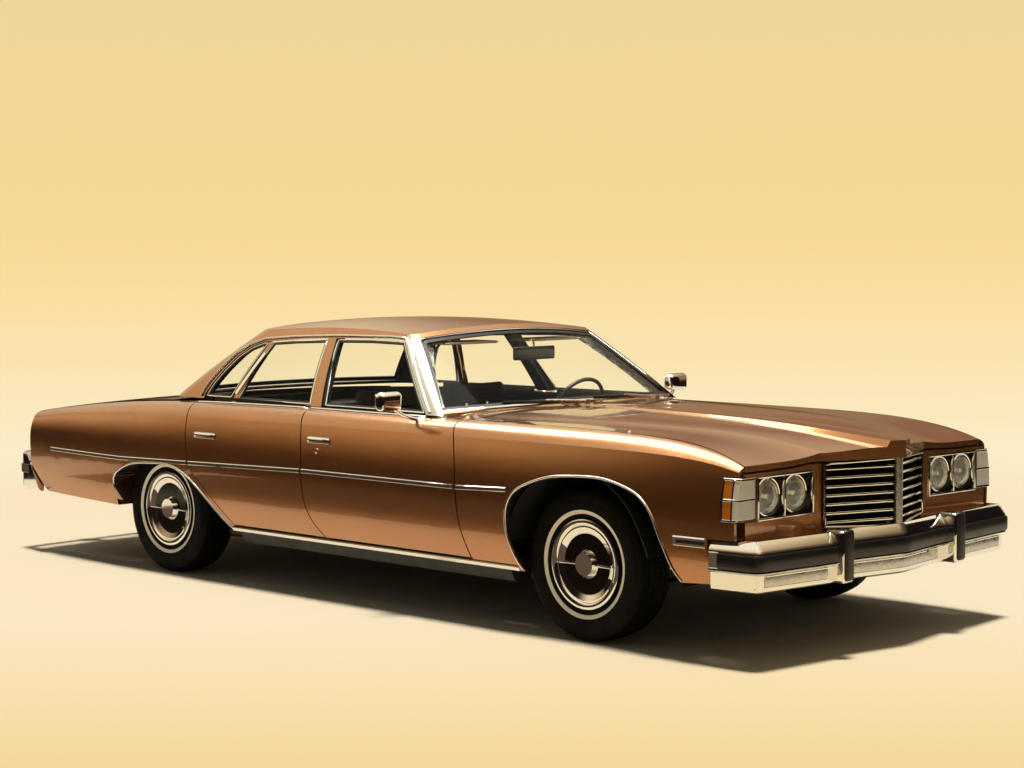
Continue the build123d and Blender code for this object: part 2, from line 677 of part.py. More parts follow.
rear_outline = [(TAIL_STATION + 4, 0), (-4606, 500), (-4576, 925), (-4300, 985)]
rear_bumper = bumper(rear_outline, 44, 368, 585, 40, 14)
quarter_side = [(station - 12, z) for station, z in BUMPER_LINE]
quarter_side += [(-4502, 700), (-4000, 700), (-4000, 368)]
wrap_cut = side_solid(quarter_side, 700, REACH)
rear_bumper = rear_bumper - wrap_cut - mirror(wrap_cut, about=Plane.XZ)
for side in (1, -1):
    rear_bumper = rear_bumper + box((-4530, TAIL_STATION), (side * 440, side * 520), (365, 598))
    rear_bumper = rear_bumper + box((-4362, -4590), (side * 400, side * 470), (405, 480))
save(rear_bumper, "rear_bumper")
tail_panel = tail_panel - rear_bumper
save(tail_panel, "tail_panel")
tail_lamps = tail_lamps - quarter - mirror(quarter, about=Plane.XZ)
save(tail_lamps, "tail_lamps")

# ---------------------------------------------------------------- floor, sills and wheelhouses
TRUNK_FLOOR_Z = 508.0
WHEELHOUSE_RADIUS = 410.0
SILL_FRONT, SILL_REAR = -440.0, -2455.0
RAIL_Y = (400.0, 470.0)

sill = outer & box((SILL_FRONT, SILL_REAR), (POST_INNER_Y, REACH), (SILL_BOTTOM, SILL_TOP))
sill = sill - front_arch - rear_arch - fender - quarter - cowl
TRUNK_SIDE = [
    (-2660, FLOOR_Z), (-2660, FLOOR_Z + 12), (-2686, FLOOR_Z + 12), (-2896, TRUNK_FLOOR_Z + 8),
    (-4420, TRUNK_FLOOR_Z + 8), (-4420, TRUNK_FLOOR_Z), (-2902, TRUNK_FLOOR_Z), (-2692, FLOOR_Z),
]
floor = box((-676, -2660), (-POST_OUTER_Y, POST_OUTER_Y), (FLOOR_Z, FLOOR_Z + 12))
tunnel = box((-676, -2500), (-150, 150), (FLOOR_Z, 420)) - box((-600, -2490), (-140, 140), (200, 410))
floor = floor - box((-600, -2490), (-140, 140), (200, FLOOR_Z + 20)) + tunnel
wheelhouse_ends = [(REAR_STATION, y, TYRE_RADIUS) for y in (632, DOOR_INNER_Y)]
wheelhouse = tube(*wheelhouse_ends, WHEELHOUSE_RADIUS + 6)
wheelhouse_ends = [(REAR_STATION, y, TYRE_RADIUS) for y in (640, 1000)]
wheelhouse = wheelhouse - tube(*wheelhouse_ends, WHEELHOUSE_RADIUS)
wheelhouse = wheelhouse & box((-2000, -4000), (500, REACH), (420, 1000))
floor = floor - sill - mirror(sill, about=Plane.XZ)
trunk_floor = side_solid(TRUNK_SIDE, -638, 638) - rear_deck - tail_panel
wheelhouse = wheelhouse - trunk_floor - rear_deck - quarter
floor = floor - rear_deck - cowl - trunk_floor
save(floor, "floor_pan")
save(trunk_floor, "trunk_floor")
save_pair(sill, "sill")
save_pair(wheelhouse, "wheelhouse")

APRON_RADIUS = 430.0
apron = tube((0, 474, TYRE_RADIUS), (0, 985, TYRE_RADIUS), APRON_RADIUS + 6)
apron = apron - tube((0, 480, TYRE_RADIUS), (0, 1000, TYRE_RADIUS), APRON_RADIUS)
apron = apron & inner & box((500, -500), (470, REACH), (430, 900))
apron = apron - fender - cowl - floor - sill
with BuildPart() as inner_fenders:
    add(apron)
    add(mirror(apron, about=Plane.XZ))
save(inner_fenders.part, "inner_fenders")

# ---------------------------------------------------------------- chassis, axle, engine, tank, exhaust
RAIL_SIDE = [
    (900, 345), (900, 425), (-400, 425), (-640, 256), (-2700, 256), (-2900, 492), (-3520, 492),
    (-3800, 480), (-4362, 480), (-4362, 405), (-3800, 405), (-3520, 418), (-2940, 418),
    (-2740, 182), (-610, 182), (-370, 345),
]
rail = side_solid(RAIL_SIDE, *RAIL_Y)
lower_arm = box((20, -20), (RAIL_Y[0], 748), (190, 206)) + box((60, -60), RAIL_Y, (184, 345))
half_frame = rail + lower_arm
JACK_STATIONS = (-1000.0, -2250.0)
JACK_PAD_Z = 176.0
chassis = half_frame + mirror(half_frame, about=Plane.XZ)
CROSS_MEMBERS = [
    (700, 345, 425), (0, 184, 260), (-760, 182, 256), (-1900, 182, 256), (-2480, 182, 256),
    (-4250, 405, 480),
]
for station, low, high in CROSS_MEMBERS:
    chassis = chassis + box((station + 40, station - 40), (-RAIL_Y[0], RAIL_Y[0]), (low, high))
for station in (-900, -1700, -2350):
    chassis = chassis + box((station + 30, station - 30), (-790, 790), (SILL_BOTTOM - 12, 256))
for station in JACK_STATIONS:
    for side in (1, -1):
        chassis = chassis + box((station + 35, station - 35), (side * 405, side * 465), (JACK_PAD_Z, 184))
save(chassis, "chassis_frame")

HUB_REACH = 46.0
DRUM_RADIUS = 138.0
axle = tube((REAR_STATION, -720, TYRE_RADIUS), (REAR_STATION, 720, TYRE_RADIUS), 38)
with BuildPart() as differential:
    with Locations((fx(REAR_STATION), 0, TYRE_RADIUS)):
        Sphere(128)
axle = axle + differential.part
for side in (1, -1):
    drum_ends = [(REAR_STATION, side * y, TYRE_RADIUS) for y in (716, 764)]
    axle = axle + tube(*drum_ends, DRUM_RADIUS)
    spindle_ends = [(REAR_STATION, side * y, TYRE_RADIUS) for y in (760, HALF_TRACK + HUB_REACH)]
    axle = axle + tube(*spindle_ends, SPINDLE_RADIUS)
    axle = axle + tube((REAR_STATION, side * 435, TYRE_RADIUS), (REAR_STATION, side * 435, 418), 32)
save(axle, "rear_axle")

engine = box((330, -420), (-270, 270), (300, 800))
with BuildPart() as engine_block:
    add(engine)
    chamfer(engine_block.edges().filter_by(Axis.X).sort_by(Axis.Z)[:2], 110)
    with BuildSketch(Plane(origin=(fx(-20), 0, 800))):
        Circle(190)
    extrude(amount=85)
save(engine_block.part, "engine")

with BuildPart() as fuel_tank:
    add(box((-3560, -4150), (-395, 395), (240, TRUNK_FLOOR_Z)))
    fillet(fuel_tank.edges().group_by(Axis.Z)[0], 40)
save(fuel_tank.part - chassis, "fuel_tank")

PIPE_Y, PIPE_Z, PIPE_RADIUS, MUFFLER_RADIUS = -338.0, 156.0, 25.0, 45.0
exhaust = tube((-420, PIPE_Y, 262), (-700, PIPE_Y, PIPE_Z - 1), PIPE_RADIUS)
exhaust = exhaust + tube((-690, PIPE_Y, PIPE_Z), (-3300, PIPE_Y, PIPE_Z), PIPE_RADIUS)
exhaust = exhaust + tube((-1150, PIPE_Y, PIPE_Z), (-1650, PIPE_Y, PIPE_Z), MUFFLER_RADIUS)
exhaust = exhaust + tube((-3290, PIPE_Y, PIPE_Z), (-3600, -560, 300), PIPE_RADIUS)
exhaust = exhaust + tube((-3590, -556, 298), (-4420, -560, 320), PIPE_RADIUS)
save(exhaust, "exhaust")

# ---------------------------------------------------------------- wheels, tyres and knuckles
TYRE_HALF, TREAD_HALF, BEAD_HALF = 108.0, 88.0, 82.0
TREAD_EDGE = TYRE_RADIUS - 12
BORE_RADIUS = SPINDLE_RADIUS + RUNNING_CLEARANCE
HUB_END = HUB_REACH + 8


def wheel_set(station):
    """Tyre and wheel for the left side of an axle."""
    centre = Plane(origin=(fx(station), HALF_TRACK, TYRE_RADIUS), x_dir=(0, 1, 0), z_dir=(1, 0, 0))
    spin = Axis((fx(station), HALF_TRACK, TYRE_RADIUS), (0, 1, 0))
    with BuildPart() as tyre:
        with BuildSketch(centre):
            with BuildLine():
                ThreePointArc((-TREAD_HALF, TREAD_EDGE), (0, TYRE_RADIUS), (TREAD_HALF, TREAD_EDGE))
                Spline(
                    (TREAD_HALF, TREAD_EDGE), (TYRE_HALF, 292), (BEAD_HALF, RIM_RADIUS),
                    tangents=[(0.8, -0.6), (-0.7, -0.7)],
                )
                Line((BEAD_HALF, RIM_RADIUS), (-BEAD_HALF, RIM_RADIUS))
                Spline(
                    (-BEAD_HALF, RIM_RADIUS), (-TYRE_HALF, 292), (-TREAD_HALF, TREAD_EDGE),
                    tangents=[(-0.7, 0.7), (0.8, 0.6)],
                )
            make_face()
        revolve(axis=spin)
    with BuildPart() as wheel:
        with BuildSketch(centre):
            with BuildLine():
                Polyline(
                    (-84, RIM_RADIUS), (-84, RIM_RADIUS - 12), (10, RIM_RADIUS - 22), (10, 60), (-30, 48),
                    (-30, BORE_RADIUS), (HUB_END, BORE_RADIUS), (HUB_END, 0), (104, 0), (104, 52),
                    (70, 72), (76, 130), (92, 168), (90, RIM_RADIUS - 2), (BEAD_HALF, RIM_RADIUS),
                    close=True,
                )
            make_face()
        revolve(axis=spin)
    return tyre.part, wheel.part


front_tyre, front_wheel = wheel_set(0)
rear_tyre, rear_wheel = wheel_set(REAR_STATION)
save_pair(front_tyre, "front_tyre")
save_pair(front_wheel, "front_wheel")
save_pair(rear_tyre, "rear_tyre")
save_pair(rear_wheel, "rear_wheel")

POST_Y = STEER_AXIS_Y - 26
knuckle = tube((0, POST_Y, 212), (0, POST_Y, 500), 24)
knuckle = knuckle + tube((0, POST_Y, TYRE_RADIUS), (0, STEER_AXIS_Y + 8, TYRE_RADIUS), DRUM_RADIUS)
hub_ends = [(0, y, TYRE_RADIUS) for y in (STEER_AXIS_Y, HALF_TRACK + HUB_REACH)]
knuckle = knuckle + tube(*hub_ends, SPINDLE_RADIUS)
save_pair(knuckle, "knuckle")

# ---------------------------------------------------------------- cabin
DRIVER_Y = 380.0
WHEEL_STATION, WHEEL_Z = -1256.0, 915.0
COLUMN_TILT = 26.0
DASH_SIDE = [
    (-700, 640), (-700, 905), (-900, 948), (-1010, 940), (-1075, 880), (-1040, 700), (-980, 640),
]
with BuildPart() as dashboard:
    add(side_solid(DASH_SIDE, -795, 795))
dash_limit = greenhouse_form(GREENHOUSE_DEPTH + 4).fuse(box((-600, -1200), (-795, 795), (600, 906)))
dash = (dashboard.part - cowl - roof - windshield) & dash_limit
column_frame = Plane(
    origin=(fx(WHEEL_STATION), DRIVER_Y, WHEEL_Z),
    x_dir=(0, 1, 0),
    z_dir=Vector(-1, 0, 0).rotate(Axis.Y, COLUMN_TILT),
)
with BuildPart() as column:
    with BuildSketch(column_frame.offset(-40)):
        Circle(30)
    extrude(amount=-330)
dash = dash + column.part
save(dash, "dashboard")

with BuildPart() as steering_wheel:
    with Locations(column_frame):
        Torus(192, 11)
    with BuildSketch(column_frame.offset(-34)):
        Circle(34)
    extrude(amount=36)
    with BuildSketch(column_frame.offset(-8)):
        Rectangle(384, 34)
    extrude(amount=10)
save(steering_wheel.part, "steering_wheel")


def bench(outline, half_width, rounding):
    """Bench seat from its side outline, with softened long edges."""
    with BuildPart() as seat:
        with BuildSketch(Plane.XZ.offset(-half_width)) as section:
            with BuildLine():
                Polyline(*[(fx(station), z) for station, z in outline], close=True)
            make_face()
            fillet(section.vertices(), rounding)
        extrude(amount=2 * half_width)
    return seat.part


FRONT_SEAT_SIDE = [
    (-1330, 300), (-1300, 520), (-1340, 560), (-1760, 520), (-1900, 950), (-2010, 940),
    (-1930, 400), (-1860, 300),
]
HEAD_REST_SIDE = [(-1905, 930), (-1925, 1054), (-2005, 1048), (-1990, 930)]
REAR_SEAT_SIDE = [
    (-2330, 300), (-2300, 500), (-2340, 545), (-2740, 512), (-2860, 862), (-2952, 862),
    (-2952, 540), (-2900, 526), (-2700, 300),
]
front_seat = bench(FRONT_SEAT_SIDE, 690, 28)
for y in (330, -330):
    front_seat = front_seat + bench(HEAD_REST_SIDE, 220, 20).translate((0, y, 0))
rear_seat = bench(REAR_SEAT_SIDE, 628, 20)
tunnel_space = box((-600, -2510), (-156, 156), (200, 426))
front_seat = front_seat - tunnel_space
rear_seat = rear_seat - tunnel_space
save(front_seat, "front_seat")
save(rear_seat, "rear_seat")

with BuildPart() as interior_mirror:
    with BuildSketch(Plane.YZ.offset(fx(-1196))):
        with Locations((0, 1241)):
            RectangleRounded(300, 70, 26)
    extrude(amount=22)
mirror_stalk = tube((-1186, 0, 1262), (-1250, 0, 1330), 7)
interior_mirror_part = (interior_mirror.part + mirror_stalk) & greenhouse_form(GLASS_SINK + GLASS_THICKNESS)
save(interior_mirror_part, "interior_mirror")

with BuildPart() as door_mirror:
    with BuildSketch(Plane.YZ.offset(fx(-1168))):
        with Locations((1065, 1046)):
            RectangleRounded(150, 96, 26)
    extrude(amount=62)
    fillet(door_mirror.faces().sort_by(Axis.X)[-1].edges(), 22)
door_mirror_part = door_mirror.part + tube((-1130, 1010, 1022), (-1000, 930, 962), 13)
door_mirror_part = door_mirror_part + (box((-950, -1040), (905, 950), (950, 980)))
door_mirror_part = door_mirror_part - front_door
save_pair(door_mirror_part, "door_mirror")
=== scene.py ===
"""Looks of a full-size four-door saloon of the mid 1970s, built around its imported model.

Frame: metres, +X forward, +Y to the car's left, +Z up, origin on the ground under the middle of the car.
A "station" is a distance ahead of the front axle, as the running gear is laid out from there.
"""

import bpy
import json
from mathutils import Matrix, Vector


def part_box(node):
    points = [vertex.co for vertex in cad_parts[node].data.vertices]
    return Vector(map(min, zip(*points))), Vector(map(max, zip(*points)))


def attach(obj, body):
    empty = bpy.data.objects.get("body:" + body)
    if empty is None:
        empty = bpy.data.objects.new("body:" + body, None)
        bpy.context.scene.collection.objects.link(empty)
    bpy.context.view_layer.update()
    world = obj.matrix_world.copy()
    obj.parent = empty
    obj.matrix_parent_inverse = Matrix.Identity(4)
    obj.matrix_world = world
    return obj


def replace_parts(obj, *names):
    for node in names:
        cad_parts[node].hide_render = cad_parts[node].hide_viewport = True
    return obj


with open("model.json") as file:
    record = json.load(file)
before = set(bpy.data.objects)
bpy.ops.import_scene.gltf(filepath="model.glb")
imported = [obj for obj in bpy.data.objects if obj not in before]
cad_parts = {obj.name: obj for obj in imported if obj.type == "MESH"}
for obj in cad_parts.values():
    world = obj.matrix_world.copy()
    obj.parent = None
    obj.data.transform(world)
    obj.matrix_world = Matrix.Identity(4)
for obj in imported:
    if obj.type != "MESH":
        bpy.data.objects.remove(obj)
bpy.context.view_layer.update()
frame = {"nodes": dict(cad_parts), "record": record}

import json
import math

import bmesh
import bpy
from mathutils import Matrix, Vector
from mathutils.bvhtree import BVHTree

bl_info = {
    "name": "Full-size saloon",
    "version": (1, 0, 0),
    "blender": (4, 5, 0),
    "location": "3D View > Sidebar > Saloon",
    "description": "Builds the trim, glass, cabin and finishes of a full-size saloon around its frame",
    "category": "Object",
}

SIDES = (("left", 1), ("right", -1))
ENDS = ("front", "rear")


def middle(node):
    """Middle of a CAD node's box."""
    low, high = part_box(node)
    return (low + high) / 2


FRONT_AXLE_X = middle("front_tyre_left").x


def at(station):
    """Frame X of a station given in metres."""
    return FRONT_AXLE_X + station


# ---------------------------------------------------------------- settings a user would change
class SaloonFinish(bpy.types.PropertyGroup):
    """Colours of the car."""

    body: bpy.props.FloatVectorProperty(
        name="Body colour", description="Metallic colour of the body panels",
        default=(0.42, 0.165, 0.055), subtype="COLOR", size=3, min=0, max=1)
    body_light: bpy.props.FloatVectorProperty(
        name="Flake colour", description="Lighter flakes in the body colour",
        default=(0.70, 0.36, 0.14), subtype="COLOR", size=3, min=0, max=1)
    # near black: dark trim of the cabin, darkened further as painted shade of the closed cabin
    cabin: bpy.props.FloatVectorProperty(
        name="Cabin colour", description="Colour of the seats, dash and door cards",
        default=(0.006, 0.005, 0.005), subtype="COLOR", size=3, min=0, max=1)


class SaloonStage(bpy.types.PropertyGroup):
    """Floor, backdrop, lights and camera."""

    floor: bpy.props.FloatVectorProperty(
        name="Floor colour", description="Pale floor that the car stands on",
        default=(0.98, 0.85, 0.63), subtype="COLOR", size=3, min=0, max=1)
    camera_height: bpy.props.FloatProperty(
        name="Camera height", description="Height of the camera above the floor",
        default=1.7589, unit="LENGTH")


# ---------------------------------------------------------------- materials
MATERIALS = {}


def new_material(name, colour, **sockets):
    """Principled material with constant values on its own sockets, as its tree and shader."""
    material = MATERIALS[name] = bpy.data.materials.new(name)
    material.use_nodes = True
    shader = material.node_tree.nodes["Principled BSDF"]
    shader.inputs["Base Color"].default_value = (*colour, 1)
    for socket, value in sockets.items():
        shader.inputs[socket.replace("_", " ")].default_value = value
    return material.node_tree, shader


def node(tree, kind, inputs=None, **settings):
    """New shader node with settings, and inputs given as values or as sockets to join."""
    made = tree.nodes.new("ShaderNode" + kind)
    for key, value in settings.items():
        setattr(made, key, value)
    for key, value in (inputs or {}).items():
        if isinstance(value, bpy.types.NodeSocket):
            tree.links.new(value, made.inputs[key])
        else:
            made.inputs[key].default_value = value
    return made


def show(tree, surface, output="Material Output"):
    """Joins a shader to the tree's output."""
    tree.links.new(surface, tree.nodes[output].inputs["Surface"])


def mix_shaders(tree, share, first, second):
    """Mix of two shader nodes, as its socket."""
    return node(tree, "MixShader", {0: share, 1: first.outputs[0], 2: second.outputs[0]}).outputs[0]


def place(tree, scale=(1, 1, 1)):
    """Object coordinates through a mapping, as a socket."""
    coords = node(tree, "TexCoord").outputs["Object"]
    return node(tree, "Mapping", {"Scale": scale, "Vector": coords}).outputs["Vector"]


def noise(tree, scale, detail=3.0, stretch=(1, 1, 1)):
    """Noise on object coordinates, as its value socket."""
    return node(tree, "TexNoise", {"Scale": scale, "Detail": detail, "Vector": place(tree, stretch)}).outputs["Fac"]


def ribs(tree, direction, scale, distortion=0.0):
    """Parallel ribs on object coordinates, as their value socket."""
    return node(tree, "TexWave", {"Scale": scale, "Distortion": distortion, "Vector": place(tree)},
                bands_direction=direction).outputs["Fac"]


def ramp(tree, source, stops):
    """Colour ramp over a value socket, from (position, colour or grey) stops."""
    made = node(tree, "ValToRGB", {"Fac": source})
    elements = made.color_ramp.elements
    while len(elements) < len(stops):
        elements.new(0.5)
    for element, (position, colour) in zip(elements, stops):
        element.position = position
        element.color = (*colour, 1) if isinstance(colour, tuple) else (colour, colour, colour, 1)
    return made.outputs["Color"]


def tone_ramp(tree, source, tones):
    """Colour ramp over a value socket, from (value, colour) stops."""
    low, high = tones[0][0], tones[-1][0]
    reach = node(tree, "MapRange", {"From Min": low, "From Max": high, "Value": source})
    return ramp(tree, reach.outputs[0], [((value - low) / (high - low), colour) for value, colour in tones])


def soft_step(tree, source, low, high):
    """Smooth rise from 0 to 1 between two values of a socket."""
    return node(tree, "MapRange", {"From Min": low, "From Max": high, "Value": source},
                interpolation_type="SMOOTHSTEP").outputs[0]


def vary(tree, shader, socket, source, low, high):
    """Joins a socket to a 0 to 1 source, between two values."""
    tree.links.new(ramp(tree, source, ((0.3, low), (0.7, high))), shader.inputs[socket])


def bump(tree, shader, source, height, strength=1.0):
    """Relief of a given height in metres from a value socket."""
    made = node(tree, "Bump", {"Strength": strength, "Distance": height, "Height": source})
    tree.links.new(made.outputs["Normal"], shader.inputs["Normal"])


def body_paint(finish):
    """Metallic body colour: flakes of two tones under a clear lacquer."""
    tree, shader = new_material("body_paint", finish.body, Metallic=0.90, Roughness=0.26, Coat_Weight=1.0,
                                Coat_Roughness=0.03, Coat_IOR=1.6)
    flakes = node(tree, "TexVoronoi", {"Scale": 900.0, "Vector": place(tree)})
    tone = ramp(tree, flakes.outputs["Distance"], ((0.1, tuple(finish.body_light)), (0.6, tuple(finish.body))))
    cloud = ramp(tree, noise(tree, 2.2, 2.0), ((0.35, 0.92), (0.65, 1.0)))
    mixed = node(tree, "Mix", {0: 1.0, 6: tone, 7: cloud}, data_type="RGBA", blend_type="MULTIPLY")
    tree.links.new(mixed.outputs[2], shader.inputs["Base Color"])


def chrome(name, colour, rough):
    """Plated bright metal with faint polishing haze."""
    tree, shader = new_material(name, colour, Metallic=1.0, Roughness=rough)
    vary(tree, shader, "Roughness", noise(tree, 35.0, 4.0), rough * 0.85, rough * 1.2)
    bump(tree, shader, noise(tree, 9.0, 1.0), 0.0004, 0.12)


def clear_glass(name, colour, ior=1.45):
    """Glass that lets lamps through."""
    tree, shader = new_material(name, colour, Roughness=0.0, IOR=ior, Transmission_Weight=1.0)
    vary(tree, shader, "Roughness", noise(tree, 3.0, 2.0), 0.0, 0.002)
    clear = node(tree, "BsdfTransparent", {"Color": (*colour, 1)})
    show(tree, mix_shaders(tree, node(tree, "LightPath").outputs["Is Shadow Ray"], shader, clear))
    return tree, shader


def moulded(name, colour, rough, grain, scale, **sockets):
    """Plastic, rubber, vinyl or painted metal with its own grain."""
    tree, shader = new_material(name, colour, Roughness=rough, **sockets)
    vary(tree, shader, "Roughness", noise(tree, 14.0, 4.0), rough * 0.85, min(1.0, rough * 1.2))
    bump(tree, shader, noise(tree, scale, 3.0), grain, 0.35)
    return tree, shader


def woven(name, colour):
    """Seat cloth: two crossed ribs on object coordinates with a soft sheen."""
    tree, shader = new_material(name, colour, Roughness=0.9, Sheen_Weight=0.06, Specular_IOR_Level=0.15)
    cross = node(tree, "Math", {0: ribs(tree, "X", 160.0, 0.6), 1: ribs(tree, "Y", 160.0, 0.6)},
                 operation="MULTIPLY").outputs[0]
    bump(tree, shader, cross, 0.0006, 0.6)
    dark, light = (tuple(c * share for c in colour) for share in (0.6, 1.5))
    tree.links.new(ramp(tree, cross, ((0.1, dark), (0.8, light))), shader.inputs["Base Color"])


def corner_lens():
    """Ribbed lens of the corner lamps: amber towards the wheel, clear round the corner."""
    tree, shader = moulded("corner_lens", (0.40, 0.40, 0.38), 0.10, 0.0002, 200.0, Coat_Weight=1.0)
    apart = node(tree, "SeparateXYZ", {0: place(tree)})
    forward = node(tree, "Math", {0: apart.outputs["X"], 1: AMBER_EDGE}, operation="GREATER_THAN")
    tone = ramp(tree, forward.outputs[0], ((0.4, (0.50, 0.15, 0.012)), (0.6, (0.62, 0.61, 0.57))))
    tree.links.new(tone, shader.inputs["Base Color"])
    bump(tree, shader, ribs(tree, "Z", 42.0), 0.0015, 0.5)


def wood(name):
    """Printed wood grain of the dashboard."""
    tree, shader = new_material(name, (0.10, 0.045, 0.018), Roughness=0.25, Coat_Weight=0.6)
    tones = ((0.3, (0.040, 0.016, 0.006)), (0.55, (0.14, 0.065, 0.026)), (0.7, (0.20, 0.10, 0.045)))
    tree.links.new(ramp(tree, noise(tree, 18.0, 6.0, (1, 0.12, 2.4)), tones), shader.inputs["Base Color"])


AMBER_EDGE = at(0.893)
# own finishes of some nodes: a ribbed lens for the corner lamps, and black on the sills, whose slot is body paint, as
# painted shade under the rocker
NODE_FINISH_AND_SHADE = {"corner_lamps": "corner_lens", "sill_left": "frame_black", "sill_right": "frame_black"}


def faces_cabin(centre, normal):
    """Whether a face of the roof does not look clearly out of the cabin."""
    along_car = centre.x - CABIN_MIDDLE.x
    away = Vector((along_car if abs(along_car) > 0.6 else 0.0, centre.y, centre.z - CABIN_MIDDLE.z))
    return normal.dot(away.normalized()) < 0.3


def under_glass(centre, normal):
    """Whether a face of the cowl or rear deck lies below the glass or looks down."""
    return normal.z < 0.3 or centre.z < 0.93


def faces_wheel(centre, normal):
    """Whether a face looks inwards or down under a fender."""
    return normal.y * centre.y < -0.05 or normal.z < -0.75


def on_pillar(centre, normal):
    """Whether a face of the roof belongs to the outside of a windshield pillar."""
    return centre.x > at(-1.760) and centre.z < 1.330 and not faces_cabin(centre, normal)


def looks_down(centre, normal):
    """Whether a face of a lid is on its underside."""
    return normal.z < -0.3


def faces_seats(centre, normal):
    """Whether a face of a door looks into the cabin."""
    return normal.y * centre.y < -0.02 and centre.z > 0.3


CABIN_MIDDLE = Vector((at(-1.9), 0.0, 0.95))
INNER_FINISH = {
    "roof": (("dark_trim", faces_cabin), ("satin_metal", on_pillar)),
    "cowl": (("dark_trim", under_glass),),
    "rear_deck": (("dark_trim", under_glass),),
    "hood": (("frame_black", looks_down),),
    "trunk_lid": (("frame_black", looks_down),),
    "front_door": (("cabin_vinyl", faces_seats),),
    "rear_door": (("cabin_vinyl", faces_seats),),
    "front_fender": (("frame_black", faces_wheel),),
    "quarter_panel": (("frame_black", faces_wheel),),
}


def make_materials(finish):
    """Every finish of the car: colour, then roughness, grain depth and grain scale of the moulded ones."""
    body_paint(finish)
    chrome("bright_chrome", (0.86, 0.86, 0.84), 0.045)
    # dark plated metal; on the wheel covers' dishes its darkness is a painted dark reflection in bright chrome
    chrome("dark_chrome_and_painted_reflection", (0.045, 0.043, 0.040), 0.10)
    chrome("lamp_silver", (0.90, 0.90, 0.88), 0.12)
    chrome("satin_metal", (0.62, 0.61, 0.58), 0.28)
    chrome("mirror_glass", (0.90, 0.91, 0.91), 0.01)
    clear_glass("clear_glass", (0.985, 0.995, 0.985), 1.07)
    clear_glass("lamp_glass", (0.97, 0.98, 0.97))
    tree, shader = clear_glass("fluted_glass", (0.98, 0.98, 0.96))
    bump(tree, shader, ribs(tree, "Y", 55.0), 0.0012, 0.5)
    corner_lens()
    # seat cloth: dark cloth, darkened further as painted shade of the closed cabin
    woven("seat_fabric", (0.013, 0.010, 0.009))
    wood("wood_grain")
    moulded("frame_black", (0.012, 0.012, 0.012), 0.5, 0.0008, 90.0)
    moulded("engine_iron", (0.02, 0.11, 0.16), 0.5, 0.0008, 120.0)
    moulded("exhaust_steel", (0.24, 0.21, 0.19), 0.42, 0.0006, 150.0, Metallic=0.9)
    # cabin vinyl in the cabin colour, which is partly painted shade
    moulded("cabin_vinyl", finish.cabin, 0.65, 0.0006, 500.0, Specular_IOR_Level=0.25)
    moulded("dark_trim", (0.009, 0.008, 0.007), 0.8, 0.0004, 400.0, Specular_IOR_Level=0.2)
    moulded("headliner_cloth", (0.20, 0.15, 0.105), 0.9, 0.0005, 600.0)
    moulded("carpet_pile", (0.022, 0.014, 0.010), 0.95, 0.0012, 420.0, Specular_IOR_Level=0.1)
    moulded("dial_face", (0.012, 0.014, 0.016), 0.4, 0.0001, 200.0)
    # tyre rubber: black rubber, darkened further as painted shade under the fenders
    moulded("tyre_rubber", (0.003, 0.003, 0.003), 0.70, 0.0005, 260.0, Specular_IOR_Level=0.14)
    moulded("white_rubber", (0.80, 0.77, 0.70), 0.5, 0.0003, 300.0)
    moulded("black_rubber", (0.006, 0.006, 0.006), 0.34, 0.0004, 340.0)
    moulded("moulding_vinyl", (0.06, 0.022, 0.010), 0.4, 0.0003, 400.0)
    moulded("plate_white", (0.78, 0.78, 0.76), 0.35, 0.0002, 300.0)
    moulded("lamp_plastic", (0.75, 0.73, 0.66), 0.3, 0.0002, 200.0)
    moulded("red_lens", (0.35, 0.008, 0.006), 0.08, 0.0006, 260.0, Coat_Weight=1.0)
    moulded("white_lens", (0.42, 0.42, 0.40), 0.12, 0.0006, 200.0, Coat_Weight=1.0)
    moulded("amber_lens", (0.55, 0.16, 0.01), 0.10, 0.0005, 240.0, Coat_Weight=1.0)


def finish_frame():
    """Gives each CAD node the finish that its record slot names, or one set for that node, and further finishes on
    chosen faces of its panels.
    """
    for part in frame["record"]["subparts"]:
        obj = frame["nodes"][part["node"]]
        obj.data.materials.clear()
        obj.data.materials.append(MATERIALS[NODE_FINISH_AND_SHADE.get(part["node"], part["material_slot"])])
        panel = part["node"].removesuffix("_left").removesuffix("_right")
        for index, (label, chosen) in enumerate(INNER_FINISH.get(panel, ()), 1):
            obj.data.materials.append(MATERIALS[label])
            for polygon in obj.data.polygons:
                if chosen(polygon.center, polygon.normal):
                    polygon.material_index = index


# ---------------------------------------------------------------- stage and finishes
def link(name, data):
    """New object in the scene."""
    obj = bpy.data.objects.new(name, data)
    bpy.context.scene.collection.objects.link(obj)
    return obj


def add_object(name, bm):
    """Object in the scene from a bmesh, which is freed."""
    mesh = bpy.data.meshes.new(name)
    bm.to_mesh(mesh)
    bm.free()
    return link(name, mesh)


def lay_floor(stage):
    """Wide floor disc, lit near the car and glowing at an even strength further out, where it meets the backdrop; its
    colour is painted lighter round the car and darker towards the camera and far behind, as painted falloff of light.
    """
    bm = bmesh.new()
    bmesh.ops.create_circle(bm, cap_ends=True, segments=96, radius=FLOOR_RADIUS)
    floor = add_object("floor", bm)
    tree, shader = new_material("floor", stage.floor, Roughness=0.9, Specular_IOR_Level=0.0)
    spot = node(tree, "TexCoord").outputs["Object"]
    view_way = (math.sin(CAMERA_TURN), -math.cos(CAMERA_TURN), 0)
    across = node(tree, "VectorMath", {0: spot, 1: view_way}, operation="DOT_PRODUCT")
    tone = tone_ramp(tree, across.outputs["Value"], FLOOR_FALLOFF_TONES)
    tree.links.new(tone, shader.inputs["Base Color"])
    glow = node(tree, "Emission", {"Strength": 1.0, "Color": tone})
    far = node(tree, "VectorMath", {0: spot}, operation="LENGTH").outputs["Value"]
    show(tree, mix_shaders(tree, soft_step(tree, far, *LIT_FLOOR), shader, glow))
    floor.data.materials.append(MATERIALS["floor"])


